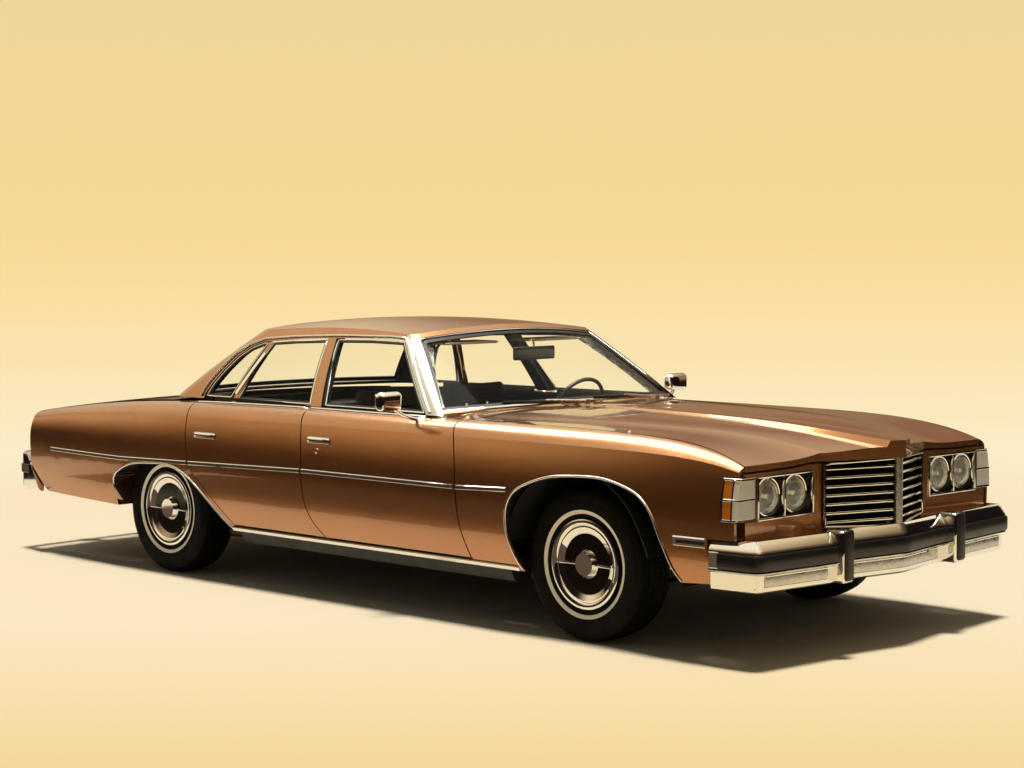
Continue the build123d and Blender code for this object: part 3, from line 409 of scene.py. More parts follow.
def light_world():
    """Soft studio surround: the backdrop's colours where it is seen or mirrored, even light elsewhere."""
    world = bpy.context.scene.world = bpy.data.worlds.new("studio")
    world.use_nodes = True
    tree = world.node_tree
    split = node(tree, "SeparateXYZ", {0: node(tree, "TexCoord").outputs["Generated"]})
    backdrop = tree.nodes["Background"]
    tree.links.new(tone_ramp(tree, split.outputs["Z"], SKY_TONES), backdrop.inputs["Color"])
    lit = node(tree, "Background", {"Color": (1.0, 0.94, 0.84, 1), "Strength": AMBIENT})
    rays = node(tree, "LightPath").outputs
    seen = rays["Is Camera Ray"]
    for ray in ("Is Transmission Ray", "Is Glossy Ray"):
        seen = node(tree, "Math", {0: seen, 1: rays[ray]}, operation="MAXIMUM").outputs[0]
    show(tree, mix_shaders(tree, seen, lit, backdrop), "World Output")


FLOOR_RADIUS = 45.0
# distances from the middle between which the lit floor gives way to an evenly glowing one
LIT_FLOOR = (4.5, 9.0)
# distance along the view and the floor's colour there: painted falloff of light, lightest round the car and darker
# towards the camera and far behind, where it meets the backdrop's colours
FLOOR_FALLOFF_TONES = (
    (-30.0, (0.956, 0.760, 0.415)), (-23.5, (0.956, 0.768, 0.430)), (-11.0, (0.969, 0.818, 0.520)),
    (-2.5, (0.990, 0.871, 0.660)), (1.3, (0.990, 0.871, 0.665)), (2.8, (0.982, 0.821, 0.537)),
    (3.6, (0.960, 0.778, 0.450)), (5.0, (0.900, 0.690, 0.380)),
)
# height of the view line, and the backdrop's colour there
SKY_TONES = (
    (-0.050, (0.956, 0.765, 0.422)), (-0.022, (0.965, 0.730, 0.361)), (0.0, (0.940, 0.694, 0.314)),
    (0.034, (0.905, 0.680, 0.295)), (0.117, (0.862, 0.664, 0.325)), (0.45, (1.0, 0.90, 0.66)),
    (1.0, (1.0, 0.95, 0.82)),
)
AMBIENT = 0.10
KEY_STRENGTH = 2.72
KEY_SPREAD = math.radians(9.0)
KEY_TILT = math.radians(3)
SOFTBOX_SIZE = (7.5, 2.6)
SOFTBOX_HEIGHT = 5.0
SOFTBOX_POWER = 330.0
# half ellipses round the car that stand in its reflections: first and last angle in degrees, half length,
# half width, the X values between which their tones change, and the tone at each height behind and ahead of them
SURROUNDS = {
    "near_flag": (-165.0, 65.0, 7.2, 4.6, (-2.6, -0.4), (
        (0.0, (0.012, 0.007, 0.009)), (1.2, (0.016, 0.009, 0.010)), (1.7, (0.34, 0.21, 0.10)),
        (2.4, (0.86, 0.66, 0.38)), (3.6, (1.0, 0.86, 0.56)), (8.0, (1.0, 0.92, 0.70))), (
        (0.0, (0.008, 0.005, 0.005)), (2.2, (0.012, 0.007, 0.007)), (3.2, (0.16, 0.10, 0.05)),
        (4.4, (0.80, 0.60, 0.34)), (6.0, (1.0, 0.88, 0.60)), (8.0, (1.0, 0.92, 0.70)))),
    "far_flag": (66.0, 194.0, 6.4, 3.6, (-4.4, -3.0), (
        (0.0, (0.012, 0.006, 0.006)), (0.9, (0.020, 0.010, 0.008)), (1.15, (0.34, 0.24, 0.14)),
        (1.6, (0.50, 0.36, 0.22)), (2.4, (0.75, 0.60, 0.38)), (5.0, (1.0, 0.88, 0.64))), (
        (0.0, (0.012, 0.006, 0.006)), (0.9, (0.020, 0.010, 0.008)), (1.15, (0.28, 0.17, 0.08)),
        (1.5, (0.34, 0.21, 0.11)), (1.9, (0.26, 0.13, 0.08)), (5.0, (0.95, 0.82, 0.56)))),
}
# floor card beside the car that darkens its lower sides: stations, y values and tone
FLOOR_CARD = ((-3.9, 3.9), (-4.6, -1.72), (0.110, 0.074, 0.050))


def add_lamp(name, kind, height, tilt, energy, **settings):
    """Lamp over the middle of the car."""
    lamp = bpy.data.lights.new(name, kind)
    for key, value in settings.items():
        setattr(lamp, key, value)
    lamp.energy, lamp.color = energy, (1.0, 0.95, 0.86)
    holder = link(name, lamp)
    holder.location.z = height
    holder.rotation_euler = (tilt, tilt, 0)
    return holder


def set_lamps():
    """Key light from above, a long softbox for the gloss, and a surround whose foot is dark."""
    add_lamp("key", "SUN", 8, KEY_TILT, KEY_STRENGTH, angle=KEY_SPREAD)
    add_lamp("softbox", "AREA", SOFTBOX_HEIGHT, 0, SOFTBOX_POWER, shape="RECTANGLE", size=SOFTBOX_SIZE[0],
             size_y=SOFTBOX_SIZE[1]).visible_diffuse = False
    for name, (first, last, length, width, change, behind, ahead) in SURROUNDS.items():
        turns = [math.radians(turn) for turn in spread(first, last, 48)]
        foot = [(length * math.cos(a), width * math.sin(a), 0.0) for a in turns]
        hang_card(name, foot, (0, 0, behind[-1][0]), change, behind, ahead)
    (rear, front), (outer, inner), tone = FLOOR_CARD
    even = ((0.0, tone), (1.0, tone))
    hang_card("floor_card", [(rear, outer, 0.004), (front, outer, 0.004)], (0, inner - outer, 0), (0.0, 1.0),
              even, even)


def hang_card(name, foot, sweep, change, behind, ahead):
    """Card swept from a line of points, seen only in reflections, toned by height behind and ahead of a change."""
    bm = bmesh.new()
    line = [bm.verts.new(point) for point in foot]
    edges = [bm.edges.new(pair) for pair in zip(line, line[1:])]
    bmesh.ops.translate(bm, verts=new_verts(bmesh.ops.extrude_edge_only(bm, edges=edges)), vec=sweep)
    card = add_object(name, bm)
    tree, shader = new_material(name, (0, 0, 0))
    tree.nodes.remove(shader)
    split = node(tree, "SeparateXYZ", {0: node(tree, "TexCoord").outputs["Object"]}).outputs
    tone = node(tree, "Mix", {0: soft_step(tree, split["X"], *change), 6: tone_ramp(tree, split["Z"], behind),
                              7: tone_ramp(tree, split["Z"], ahead)}, data_type="RGBA").outputs[2]
    show(tree, node(tree, "Emission", {"Strength": 1.0, "Color": tone}).outputs[0])
    card.data.materials.append(MATERIALS[name])
    card.visible_camera = card.visible_transmission = card.visible_diffuse = card.visible_shadow = False


CAMERA_PLACE = (8.2675, -7.9557)
CAMERA_TURN, CAMERA_DIP, CAMERA_ROLL = math.radians(44.682), math.radians(3.506), -0.003766
CAMERA_LENS = 75.35


def aim_camera(stage):
    """Camera ahead of the car's right corner at eye height."""
    camera = bpy.data.cameras.new("camera")
    camera.lens, camera.sensor_width = CAMERA_LENS, 36.0
    holder = bpy.context.scene.camera = link("camera", camera)
    level = math.cos(CAMERA_DIP)
    back = Vector((math.sin(CAMERA_TURN) * level, -math.cos(CAMERA_TURN) * level, math.sin(CAMERA_DIP)))
    right = Vector((0, 0, 1)).cross(back).normalized()
    up = back.cross(right)
    c, s = math.cos(CAMERA_ROLL), math.sin(CAMERA_ROLL)
    axes = Matrix((c * right + s * up, c * up - s * right, back)).transposed().to_4x4()
    holder.matrix_world = Matrix.Translation((*CAMERA_PLACE, stage.camera_height)) @ axes


class SALOON_OT_stage(bpy.types.Operator):
    """Lays the floor and backdrop, sets the lights and places the camera"""

    bl_idname = "saloon.stage"
    bl_label = "Stage"

    def execute(self, context):
        context.scene.view_settings.view_transform = "Standard"
        lay_floor(context.scene.saloon_stage)
        light_world()
        set_lamps()
        aim_camera(context.scene.saloon_stage)
        return {"FINISHED"}


class SALOON_OT_frame(bpy.types.Operator):
    """Gives the panels, glass and running gear their finishes"""

    bl_idname = "saloon.frame"
    bl_label = "Finishes"

    def execute(self, context):
        make_materials(context.scene.saloon_finish)
        finish_frame()
        return {"FINISHED"}


def spread(first, last, steps):
    """Evenly spaced values from first to last."""
    return [first + (last - first) * i / steps for i in range(steps + 1)]


def finish_piece(bm, name, *materials, body="body", slot=None, angle=35.0, closed=True):
    """Turns a bmesh into a finished piece that rides on a body."""
    bmesh.ops.remove_doubles(bm, verts=bm.verts[:], dist=1e-5)
    if closed:
        bmesh.ops.recalc_face_normals(bm, faces=bm.faces[:])
    obj = add_object(name, bm)
    for label in materials:
        obj.data.materials.append(MATERIALS[label])
    for polygon in obj.data.polygons:
        polygon.use_smooth = True
    obj.data.set_sharp_from_angle(angle=math.radians(angle))
    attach(obj, body)
    return obj


def new_verts(result):
    """Vertices among an operator's results."""
    return [g for g in result["geom"] if isinstance(g, bmesh.types.BMVert)]


def add_sweep(bm, profile, stations, closed_path=False):
    """Extrudes a closed profile of (x, y) points through a list of matrices."""
    ring = [bm.verts.new(stations[0] @ Vector((x, y, 0))) for x, y in profile]
    first = edges = [bm.edges.new(pair) for pair in zip(ring, ring[1:] + ring[:1])]
    for before, after in zip(stations, stations[1:]):
        grown = bmesh.ops.extrude_edge_only(bm, edges=edges)
        verts = new_verts(grown)
        bmesh.ops.transform(bm, matrix=after @ before.inverted(), verts=verts)
        fresh = set(verts)
        edges = [g for g in grown["geom"] if isinstance(g, bmesh.types.BMEdge) and fresh.issuperset(g.verts)]
    if closed_path:
        bmesh.ops.bridge_loops(bm, edges=first + edges)
    else:
        bmesh.ops.holes_fill(bm, edges=first + edges, sides=0)


def along(points, normals):
    """Matrix at each point of a path: x along its normal, z along the path."""
    made = []
    for i, (point, normal) in enumerate(zip(points, normals)):
        forward = (points[min(i + 1, len(points) - 1)] - points[max(i - 1, 0)]).normalized()
        out = (normal - forward * normal.dot(forward)).normalized()
        made.append(Matrix.Translation(point) @ Matrix((out, forward.cross(out), forward)).transposed().to_4x4())
    return made


def skin(*nodes):
    """Search tree of the surface of CAD nodes."""
    bm = bmesh.new()
    for name in nodes:
        bm.from_mesh(frame["nodes"][name].data)
    tree = BVHTree.FromBMesh(bm)
    bm.free()
    return tree


def probe(tree, start, way):
    """Point and normal where a ray first meets a surface, or None."""
    hit, normal, _, _ = tree.ray_cast(Vector(start), Vector(way))
    return (hit, normal) if hit else None


def on_side(tree, x, z, sign):
    """Point and normal of the body side at a frame X and height, or None."""
    return probe(tree, (x, sign * 1.4, z), (0, -sign, 0))


def on_top(tree, x, y):
    """Point and normal of a surface seen from above, or None."""
    return probe(tree, (x, y, 2.0), (0, 0, -1))


def from_end(tree, y, z, sign):
    """Point and normal of a surface seen from ahead (1) or from behind (-1), or None."""
    return probe(tree, (sign * 4.0, y, z), (-sign, 0, 0))


def side_run(tree, stations, heights, sign, steps):
    """Surface points on a straight run along the body side."""
    return [on_side(tree, at(s), z, sign) for s, z in zip(spread(*stations, steps), spread(*heights, steps))]


def end_run(tree, ys, heights, end, steps):
    """Surface points on a straight run across the front or tail."""
    return [from_end(tree, y, z, end) for y, z in zip(spread(*ys, steps), spread(*heights, steps))]


def curve_points(curve):
    """Points of a curve, which is then removed."""
    curve.dimensions = "3D"
    holder = bpy.data.objects.new(curve.name, curve)
    mesh = bpy.data.meshes.new_from_object(holder)
    points = [v.co.copy() for v in mesh.vertices]
    bpy.data.objects.remove(holder)
    bpy.data.curves.remove(curve)
    bpy.data.meshes.remove(mesh)
    return points


def smooth_line(points, count):
    """Evenly spread points on a smooth curve through a list of 2-D points."""
    curve = bpy.data.curves.new("line", "CURVE")
    spline = curve.splines.new("BEZIER")
    spline.bezier_points.add(len(points) - 1)
    for handle, (a, b) in zip(spline.bezier_points, points):
        handle.co = (a, b, 0)
        handle.handle_left_type = handle.handle_right_type = "AUTO"
    spline.resolution_u = 16
    return even_line(curve_points(curve), count)


def even_line(dense, count):
    """Points at equal distances along a polyline."""
    reach = [0.0]
    for a, b in zip(dense, dense[1:]):
        reach.append(reach[-1] + (b - a).length)
    picked = []
    for i in range(count):
        goal = reach[-1] * i / (count - 1)
        k = next((k for k in range(1, len(reach)) if reach[k] >= goal - 1e-9), len(reach) - 1)
        span = reach[k] - reach[k - 1]
        picked.append(dense[k - 1].lerp(dense[k], (goal - reach[k - 1]) / span if span else 0.0))
    return picked


def straight_line(points, count):
    """Points at equal distances along straight runs between 2-D points."""
    return even_line([Vector((a, b, 0)) for a, b in points], count)


def circle(radius, steps):
    """Closed circle of 2-D points."""
    return [(radius * math.cos(math.tau * i / steps), radius * math.sin(math.tau * i / steps)) for i in range(steps)]


# how far the foot of a moulding reaches into the panel below it
SUNK = -0.004


def half_round(width, height):
    """Profile of a moulding of a width that stands a height off its surface."""
    points = [(height * math.sin(math.pi * i / 6), -width / 2 * math.cos(math.pi * i / 6)) for i in range(7)]
    return [(SUNK, -width / 2)] + points + [(SUNK, width / 2)]


def flat_bar(width, height, edge=0.0015):
    """Profile of a flat moulding with chamfered edges."""
    return [(SUNK, -width / 2), (height - edge, -width / 2), (height, -width / 2 + edge),
            (height, width / 2 - edge), (height - edge, width / 2), (SUNK, width / 2)]


def swept(name, material, profile, frames, closed_path=False, **fitting):
    """Piece swept along matrices."""
    bm = bmesh.new()
    add_sweep(bm, profile, frames, closed_path)
    return finish_piece(bm, name, material, **fitting)


def lay(name, material, hits, profile, closed_path=False, **fitting):
    """Moulding laid along surface points given as (point, normal), gaps left out."""
    points, normals = zip(*[h for h in hits if h])
    return swept(name, material, profile, along(points, normals), closed_path, **fitting)


def add_block(bm, low, high, rounding=0.0, segments=2):
    """Box between two corners, with rounded edges."""
    made = bmesh.ops.create_cube(bm, size=1.0)["verts"]
    bmesh.ops.scale(bm, vec=[max(b - a, 1e-4) for a, b in zip(low, high)], verts=made)
    bmesh.ops.translate(bm, vec=[(a + b) / 2 for a, b in zip(low, high)], verts=made)
    if rounding:
        edges = {e for v in made for e in v.link_edges}
        bmesh.ops.bevel(bm, geom=list(edges), offset=rounding, offset_type="OFFSET", segments=segments,
                        profile=0.5, affect="EDGES", material=-1)
    return made


def add_turned(bm, profile, centre, axis=(0, 1, 0), steps=64, material_at=None):
    """Spins a profile of (radius, distance along the axis) points about an axis through a centre."""
    axis, centre = Vector(axis).normalized(), Vector(centre)
    side = axis.orthogonal().normalized()
    verts = [bm.verts.new(centre + side * r + axis * d) for r, d in profile]
    edges = [bm.edges.new(pair) for pair in zip(verts, verts[1:])]
    before = set(bm.faces)
    bmesh.ops.spin(bm, geom=verts + edges, cent=centre, axis=axis, angle=math.tau, steps=steps, use_merge=True)
    bmesh.ops.remove_doubles(bm, verts=bm.verts[:], dist=1e-6)
    faces = [f for f in bm.faces if f not in before]
    for face in faces if material_at else ():
        offset = face.calc_center_median() - centre
        along_axis = offset.dot(axis)
        face.material_index = material_at((offset - axis * along_axis).length, along_axis)
    return faces


def add_rod(bm, start, end, radius, segments=10):
    """Round bar with closed ends between two points."""
    start, end = Vector(start), Vector(end)
    made = bmesh.ops.create_cone(bm, cap_ends=True, segments=segments, radius1=radius, radius2=radius,
                                 depth=(end - start).length)["verts"]
    turn = Vector((0, 0, 1)).rotation_difference(end - start).to_matrix().to_4x4()
    bmesh.ops.transform(bm, matrix=Matrix.Translation((start + end) / 2) @ turn, verts=made)


def block_corners(stations, ys, zs):
    """Lowest and highest corner of a box given by stations, y values and heights."""
    return ((at(min(stations)), min(ys), min(zs)), (at(max(stations)), max(ys), max(zs)))


def blocks(name, material, boxes, rounding=0.0, segments=2, **fitting):
    """One piece of several rounded boxes, each given as (stations, ys, zs)."""
    bm = bmesh.new()
    for box in boxes:
        add_block(bm, *block_corners(*box), rounding, segments)
    return finish_piece(bm, name, material, **fitting)


def turned(name, material, profile, centre, axis=(1, 0, 0), steps=48, **fitting):
    """One piece spun from a profile about an axis through a centre."""
    bm = bmesh.new()
    add_turned(bm, profile, centre, axis, steps)
    return finish_piece(bm, name, material, **fitting)


def rods(name, material, bars, radius, segments=12, **fitting):
    """One piece of several round bars between points given as (station, y, z)."""
    bm = bmesh.new()
    for (station, *start), (next_station, *end) in bars:
        add_rod(bm, (at(station), *start), (at(next_station), *end), radius, segments)
    return finish_piece(bm, name, material, **fitting)


def pipe(name, material, route, radius, segments=10, **fitting):
    """Bent tube along a smooth route of (station, y, z) points."""
    curve = bpy.data.curves.new(name, "CURVE")
    spline = curve.splines.new("NURBS")
    spline.points.add(len(route) - 1)
    for point, (station, y, z) in zip(spline.points, route):
        point.co = (at(station), y, z, 1)
    spline.order_u, spline.use_endpoint_u, spline.resolution_u = 3, True, 8
    points = curve_points(curve)
    steep = [abs((b - a).normalized().z) >= 0.9 for a, b in zip(points[:1] + points, points[1:] + points[-1:])]
    normals = [Vector((1, 0, 0)) if rise else Vector((0, 0, 1)) for rise in steep]
    return swept(name, material, circle(radius, segments), along(points, normals), **fitting)


# ---------------------------------------------------------------- wheels
def wheel_sites():
    """Tag, body, side sign and centre of each wheel."""
    for end in ENDS:
        for side, sign in SIDES:
            yield f"{end}_{side}", f"{end}_wheel_{side}", sign, middle(f"{end}_tyre_{side}")


class SALOON_OT_tyres(bpy.types.Operator):
    """Tyres with a ribbed tread, sidewall rings and a thin white band"""

    bl_idname = "saloon.tyres"
    bl_label = "Tyres"

    def execute(self, context):
        for tag, body, sign, centre in wheel_sites():
            bm = bmesh.new()
            build_tyre(bm, centre, sign)
            tyre = finish_piece(bm, f"tyre_{tag}", "tyre_rubber", "white_rubber", body=body, angle=30)
            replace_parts(tyre, body.replace("wheel", "tyre"))
        return {"FINISHED"}


TREAD_R = 0.3505
TREAD_RIBS = ((-0.086, -0.058), (-0.052, -0.022), (-0.016, 0.016), (0.022, 0.052), (0.058, 0.086))
TREAD_BLOCKS = 96
GROOVE = 0.006
WHITE_BAND = (0.2292, 0.2476)
# radius and distance from the tyre's middle, from the bead to the shoulder
SIDEWALL = (
    (0.199, 0.070),
    (0.204, 0.079), (0.2075, 0.0865), (0.214, 0.0895), (0.222, 0.0935), (0.224, 0.0955), (0.2285, 0.0950),
    (0.2295, 0.0975), (0.2385, 0.1008), (0.2475, 0.1035), (0.2485, 0.1023), (0.270, 0.1068), (0.292, 0.1076),
    (0.308, 0.1062), (0.3095, 0.1070), (0.3125, 0.1066), (0.3140, 0.1050), (0.328, 0.1015), (0.339, 0.0955),
    (0.3455, 0.0890),
)


def build_tyre(bm, centre, sign):
    """Tyre spun about its axle, with its tread ribs cut into blocks."""
    crown = []
    for low, high in TREAD_RIBS:
        for y in (low, high):
            radius = TREAD_R - 0.010 * (abs(y) / 0.09) ** 2.2
            edge = [(radius - GROOVE, y), (radius, y)]
            crown += edge if y == low else reversed(edge)
    profile = [(r, -y) for r, y in SIDEWALL] + crown[1:-1] + list(reversed(SIDEWALL))

    def white(radius, across):
        return int(WHITE_BAND[0] < radius < WHITE_BAND[1] and across * sign > 0)

    faces = add_turned(bm, profile, centre, (0, 1, 0), TREAD_BLOCKS, white)
    tread = []
    for face in faces:
        offset = face.calc_center_median() - centre
        if math.hypot(offset.x, offset.z) > TREAD_R - 0.0115 and abs(face.normal.y) < 0.5:
            tread.append(face)
    bmesh.ops.recalc_face_normals(bm, faces=bm.faces[:])
    bmesh.ops.inset_individual(bm, faces=tread, thickness=0.0016, depth=0.0032)


# (radius, distance outwards from the wheel's middle) of the cover's parts
COVER_RING = (
    (0.165, 0.079), (0.166, 0.086), (0.172, 0.0885), (0.176, 0.095), (0.182, 0.0985), (0.190, 0.101),
    (0.198, 0.1015), (0.2045, 0.0985), (0.2065, 0.0935), (0.2045, 0.0885), (0.196, 0.0865), (0.186, 0.082),
    (0.165, 0.079))
COVER_DISH = (
    (0.048, 0.060), (0.052, 0.068), (0.066, 0.0665), (0.096, 0.070), (0.126, 0.077), (0.150, 0.0840),
    (0.1685, 0.0900), (0.1690, 0.080))
COVER_CAP = (
    (0.0205, 0.0985), (0.0215, 0.0998), (0.0265, 0.1000), (0.0325, 0.0985), (0.0375, 0.0940), (0.0400, 0.0890),
    (0.0440, 0.0880), (0.0485, 0.0850), (0.0505, 0.0800), (0.0505, 0.0700))
COVER_BUTTON = ((0.0, 0.1005), (0.010, 0.1000), (0.018, 0.0985), (0.0212, 0.0970))


class SALOON_OT_wheel_covers(bpy.types.Operator):
    """Bright wheel covers: outer ring, dish of chrome darkened as a painted dark reflection, two spokes, stepped
    centre cap
    """

    bl_idname = "saloon.wheel_covers"
    bl_label = "Wheel covers"

    def execute(self, context):
        for tag, body, sign, centre in wheel_sites():
            out = Vector((0, sign, 0))
            turned(f"cover_ring_{tag}", "bright_chrome", COVER_RING, centre, out, 96, body=body)
            bm = bmesh.new()
            add_turned(bm, COVER_DISH, centre, out, 96)
            bmesh.ops.holes_fill(bm, edges=bm.edges[:], sides=0)
            flutes = [f for f in bm.faces if 0.08 < (f.calc_center_median() - centre).length < 0.16 and
                      abs(f.normal.y) > 0.8 and f.calc_center_median().y * sign > centre.y * sign + 0.07]
            bmesh.ops.recalc_face_normals(bm, faces=bm.faces[:])
            bmesh.ops.inset_individual(bm, faces=flutes, thickness=0.0012, depth=-0.0012)
            # the dish is bright chrome darkened as a painted dark reflection
            finish_piece(bm, f"cover_dish_{tag}", "dark_chrome_and_painted_reflection", body=body, slot="bright_chrome", angle=20)
            turned(f"cover_cap_{tag}", "bright_chrome", COVER_CAP, centre, out, 64, body=body, closed=False)
            turned(f"cover_button_{tag}", "satin_metal", COVER_BUTTON, centre, out, 48, body=body, closed=False)
            bm = bmesh.new()
            for turn in range(2):
                before = set(bm.verts)
                add_block(bm, (0.058, -0.0055, -0.004), (0.157, 0.0055, 0.0055), 0.002)
                place_on = (Matrix.Translation(centre + out * 0.0835)
                            @ Matrix.Rotation(math.pi * turn, 4, "Y")
                            @ Matrix.Rotation(-sign * math.pi / 2, 4, "X")
                            @ Matrix.Rotation(math.radians(-4.5), 4, "Y"))
                bmesh.ops.transform(bm, matrix=place_on, verts=[v for v in bm.verts if v not in before])
            finish_piece(bm, f"cover_spokes_{tag}", "bright_chrome", body=body)
        return {"FINISHED"}


# ---------------------------------------------------------------- body mouldings
ARCHES = {
    "front": ((-0.340, 0.279), (-0.380, 0.384), (-0.406, 0.515), (-0.375, 0.632), (-0.255, 0.708), (0.020, 0.757),
              (0.296, 0.736), (0.435, 0.668), (0.522, 0.510), (0.572, 0.390), (0.622, 0.322)),
    "rear": ((-3.350, 0.305), (-3.490, 0.400), (-3.526, 0.486), (-3.440, 0.558), (-3.163, 0.606), (-2.950, 0.600),
             (-2.830, 0.556), (-2.728, 0.488), (-2.620, 0.395), (-2.512, 0.300)),
}
MOULDING_LINE = ((-4.163, 0.627), (-3.444, 0.621), (-2.796, 0.636), (-1.851, 0.658), (-0.724, 0.660), (-0.375, 0.673))
MOULDING_RUNS = (
    ("quarter_panel_{}", "body", -4.175, -2.826), ("rear_door_{}", "rear_door_{}", -2.808, -1.877),
    ("front_door_{}", "front_door_{}", -1.861, -0.748), ("front_fender_{}", "body", -0.731, -0.400),
)


def height_on(line, station):
    """Height of a line of (station, height) points at a station."""
    for (a, low), (b, high) in zip(line, line[1:]):
        if station <= b or (b, high) == line[-1]:
            return low + (high - low) * (station - a) / (b - a)
    return line[-1][1]


class SALOON_OT_mouldings(bpy.types.Operator):
    """Side mouldings, arch lips, sill strips and belt strips"""

    bl_idname = "saloon.mouldings"
    bl_label = "Body mouldings"

    def execute(self, context):
        for side, sign in SIDES:
            for panel, body, rear, front in MOULDING_RUNS:
                panel, body = panel.format(side), body.format(side)
                tree = skin(panel)
                hits = [on_side(tree, at(s), height_on(MOULDING_LINE, s), sign) for s in spread(rear, front, 24)]
                lay(f"moulding_{panel}", "bright_chrome", hits, flat_bar(0.021, 0.007, 0.003), body=body)
                lay(f"moulding_insert_{panel}", "moulding_vinyl", hits, flat_bar(0.009, 0.0085, 0.001), body=body)
            tree = skin(f"front_fender_{side}", f"quarter_panel_{side}", f"sill_{side}")
            for end, outline in ARCHES.items():
                line = smooth_line(outline, 60)
                lip = []
                for before, point, after in zip(line[:1] + line, line, line[1:] + line[-1:]):
                    ahead = after - before
                    spot = point + Vector((-ahead.y, ahead.x, 0)).normalized() * 0.006
                    lip.append(on_side(tree, at(spot.x), spot.y, sign))
                lay(f"arch_lip_{end}_{side}", "bright_chrome", lip, half_round(0.012, 0.006))
            lay(f"sill_strip_{side}", "bright_chrome", side_run(tree, (-2.500, -0.315), (0.3045, 0.3045), sign, 40),
                flat_bar(0.026, 0.009, 0.004))
            for door, rear, front in (("rear_door", -2.870, -1.938), ("front_door", -1.922, -1.068)):
                top = skin(f"{door}_{side}")
                hits = [on_top(top, at(s), sign * 0.886) for s in spread(rear, front, 20)]
                lay(f"belt_strip_{door}_{side}", "bright_chrome", hits, half_round(0.013, 0.008),
                    body=f"{door}_{side}")
        return {"FINISHED"}


# ---------------------------------------------------------------- window surrounds
DRIP_LINE = ((-1.050, 0.988), (-1.160, 1.086), (-1.278, 1.192), (-1.382, 1.286), (-1.444, 1.329), (-1.560, 1.3345),
             (-1.980, 1.3300), (-2.300, 1.3180), (-2.555, 1.2990), (-2.650, 1.2700), (-2.735, 1.2180),
             (-2.812, 1.1340), (-2.864, 1.0600), (-2.888, 1.0040), (-2.890, 0.986))
FRONT_PANE = ((-1.084, 0.980), (-1.300, 1.1760), (-1.4525, 1.3120), (-1.700, 1.3160), (-1.9700, 1.3105),
              (-1.8740, 0.980))
REAR_PANE = ((-1.9640, 0.980), (-2.0500, 1.3085), (-2.300, 1.2975), (-2.4720, 1.2850), (-2.5960, 0.980))
QUARTER_PANE = ((-2.6360, 0.985), (-2.5140, 1.2790), (-2.5500, 1.2780), (-2.6320, 1.2510), (-2.7060, 1.2030),
                (-2.7800, 1.1210), (-2.8290, 1.0530), (-2.8580, 0.985))
PANES = (
    ("front_door", FRONT_PANE, "front"), ("rear_door", REAR_PANE, "rear"), ("rear_door", QUARTER_PANE, "quarter"))
# the side it is seen from, then its lowest y, z and middle z, the same of its top, and its trims
SCREENS = {
    "windshield": (1, (0.868, 0.980, 1.004, 0.641, 1.332, 1.368), (
        ("black_rubber", 0.020, 0.026, 0.0025), ("bright_chrome", 0.008, 0.015, 0.008))),
    "rear_window": (-1, (0.792, 0.990, 0.994, 0.600, 1.300, 1.332), (
        ("black_rubber", 0.020, 0.026, 0.0025), ("bright_chrome", 0.009, 0.016, 0.007))),
}
# slot of each trim round a pane
TRIM_SLOTS = {"black_rubber": "cabin_vinyl", "bright_chrome": "bright_chrome"}


class SALOON_OT_window_trim(bpy.types.Operator):
    """Drip rails, window frames and bright surrounds of the two screens"""

    bl_idname = "saloon.window_trim"
    bl_label = "Window trim"

    def execute(self, context):
        roof = skin("roof")
        for side, sign in SIDES:
            rail = [on_side(roof, at(p.x), p.y, sign) for p in straight_line(DRIP_LINE, 90)]
            lay(f"drip_rail_{side}", "bright_chrome", rail, half_round(0.013, 0.011))
            for body, pane, label in PANES:
                glass = skin(f"{body}_glass_{side}")
                for tone, inset, width, height in (("black_rubber", 0.008, 0.016, 0.004),
                                                   ("bright_chrome", 0.0035, 0.007, 0.0065)):
                    ring = inset_line(pane, inset)
                    hits = [on_side(glass, at(p.x), p.y, sign) for p in straight_line(ring + ring[:1], 80)]
                    lay(f"{label}_pane_{tone}_{side}", tone, hits, flat_bar(width, height), body=f"{body}_{side}",
                        slot=TRIM_SLOTS[tone])
            divider = side_run(skin(f"rear_door_{side}"), (-2.6135, -2.486), (0.982, 1.252), sign, 10)
            lay(f"divider_trim_{side}", "bright_chrome", divider, flat_bar(0.024, 0.004, 0.001),
                body=f"rear_door_{side}")
            for end, stations in (("front", (-1.140, -1.835)), ("rear", (-2.020, -2.770))):
                blocks(f"belt_rail_{end}_{side}", "dark_trim", [
                    (stations, (sign * 0.842, sign * 0.860), (0.930, 0.988))], 0.006, body=f"{end}_door_{side}")
        for name, (end, corners, trims) in SCREENS.items():
            tree = skin(name)
            for tone, inset, width, height in trims:
                hits = [from_end(tree, p.x, p.y, end) for p in screen_outline(*corners, inset)]
                lay(f"{name}_trim_{tone}", tone, hits, flat_bar(width, height), slot=TRIM_SLOTS[tone])
        return {"FINISHED"}


def inset_line(outline, distance):
    """Closed outline of 2-D points moved inwards."""
    points = [Vector((a, b, 0)) for a, b in outline]
    turn = 1 if sum(a.x * b.y - b.x * a.y for a, b in zip(points, points[1:] + points[:1])) > 0 else -1
    moved = []
    for i, point in enumerate(points):
        before = (point - points[i - 1]).normalized()
        after = (points[(i + 1) % len(points)] - point).normalized()
        inward_a, inward_b = Vector((-before.y, before.x, 0)) * turn, Vector((-after.y, after.x, 0)) * turn
        share = (inward_a + inward_b).normalized()
        moved.append(point + share * (distance / max(0.35, share.dot(inward_a))))
    return [(p.x, p.y) for p in moved]


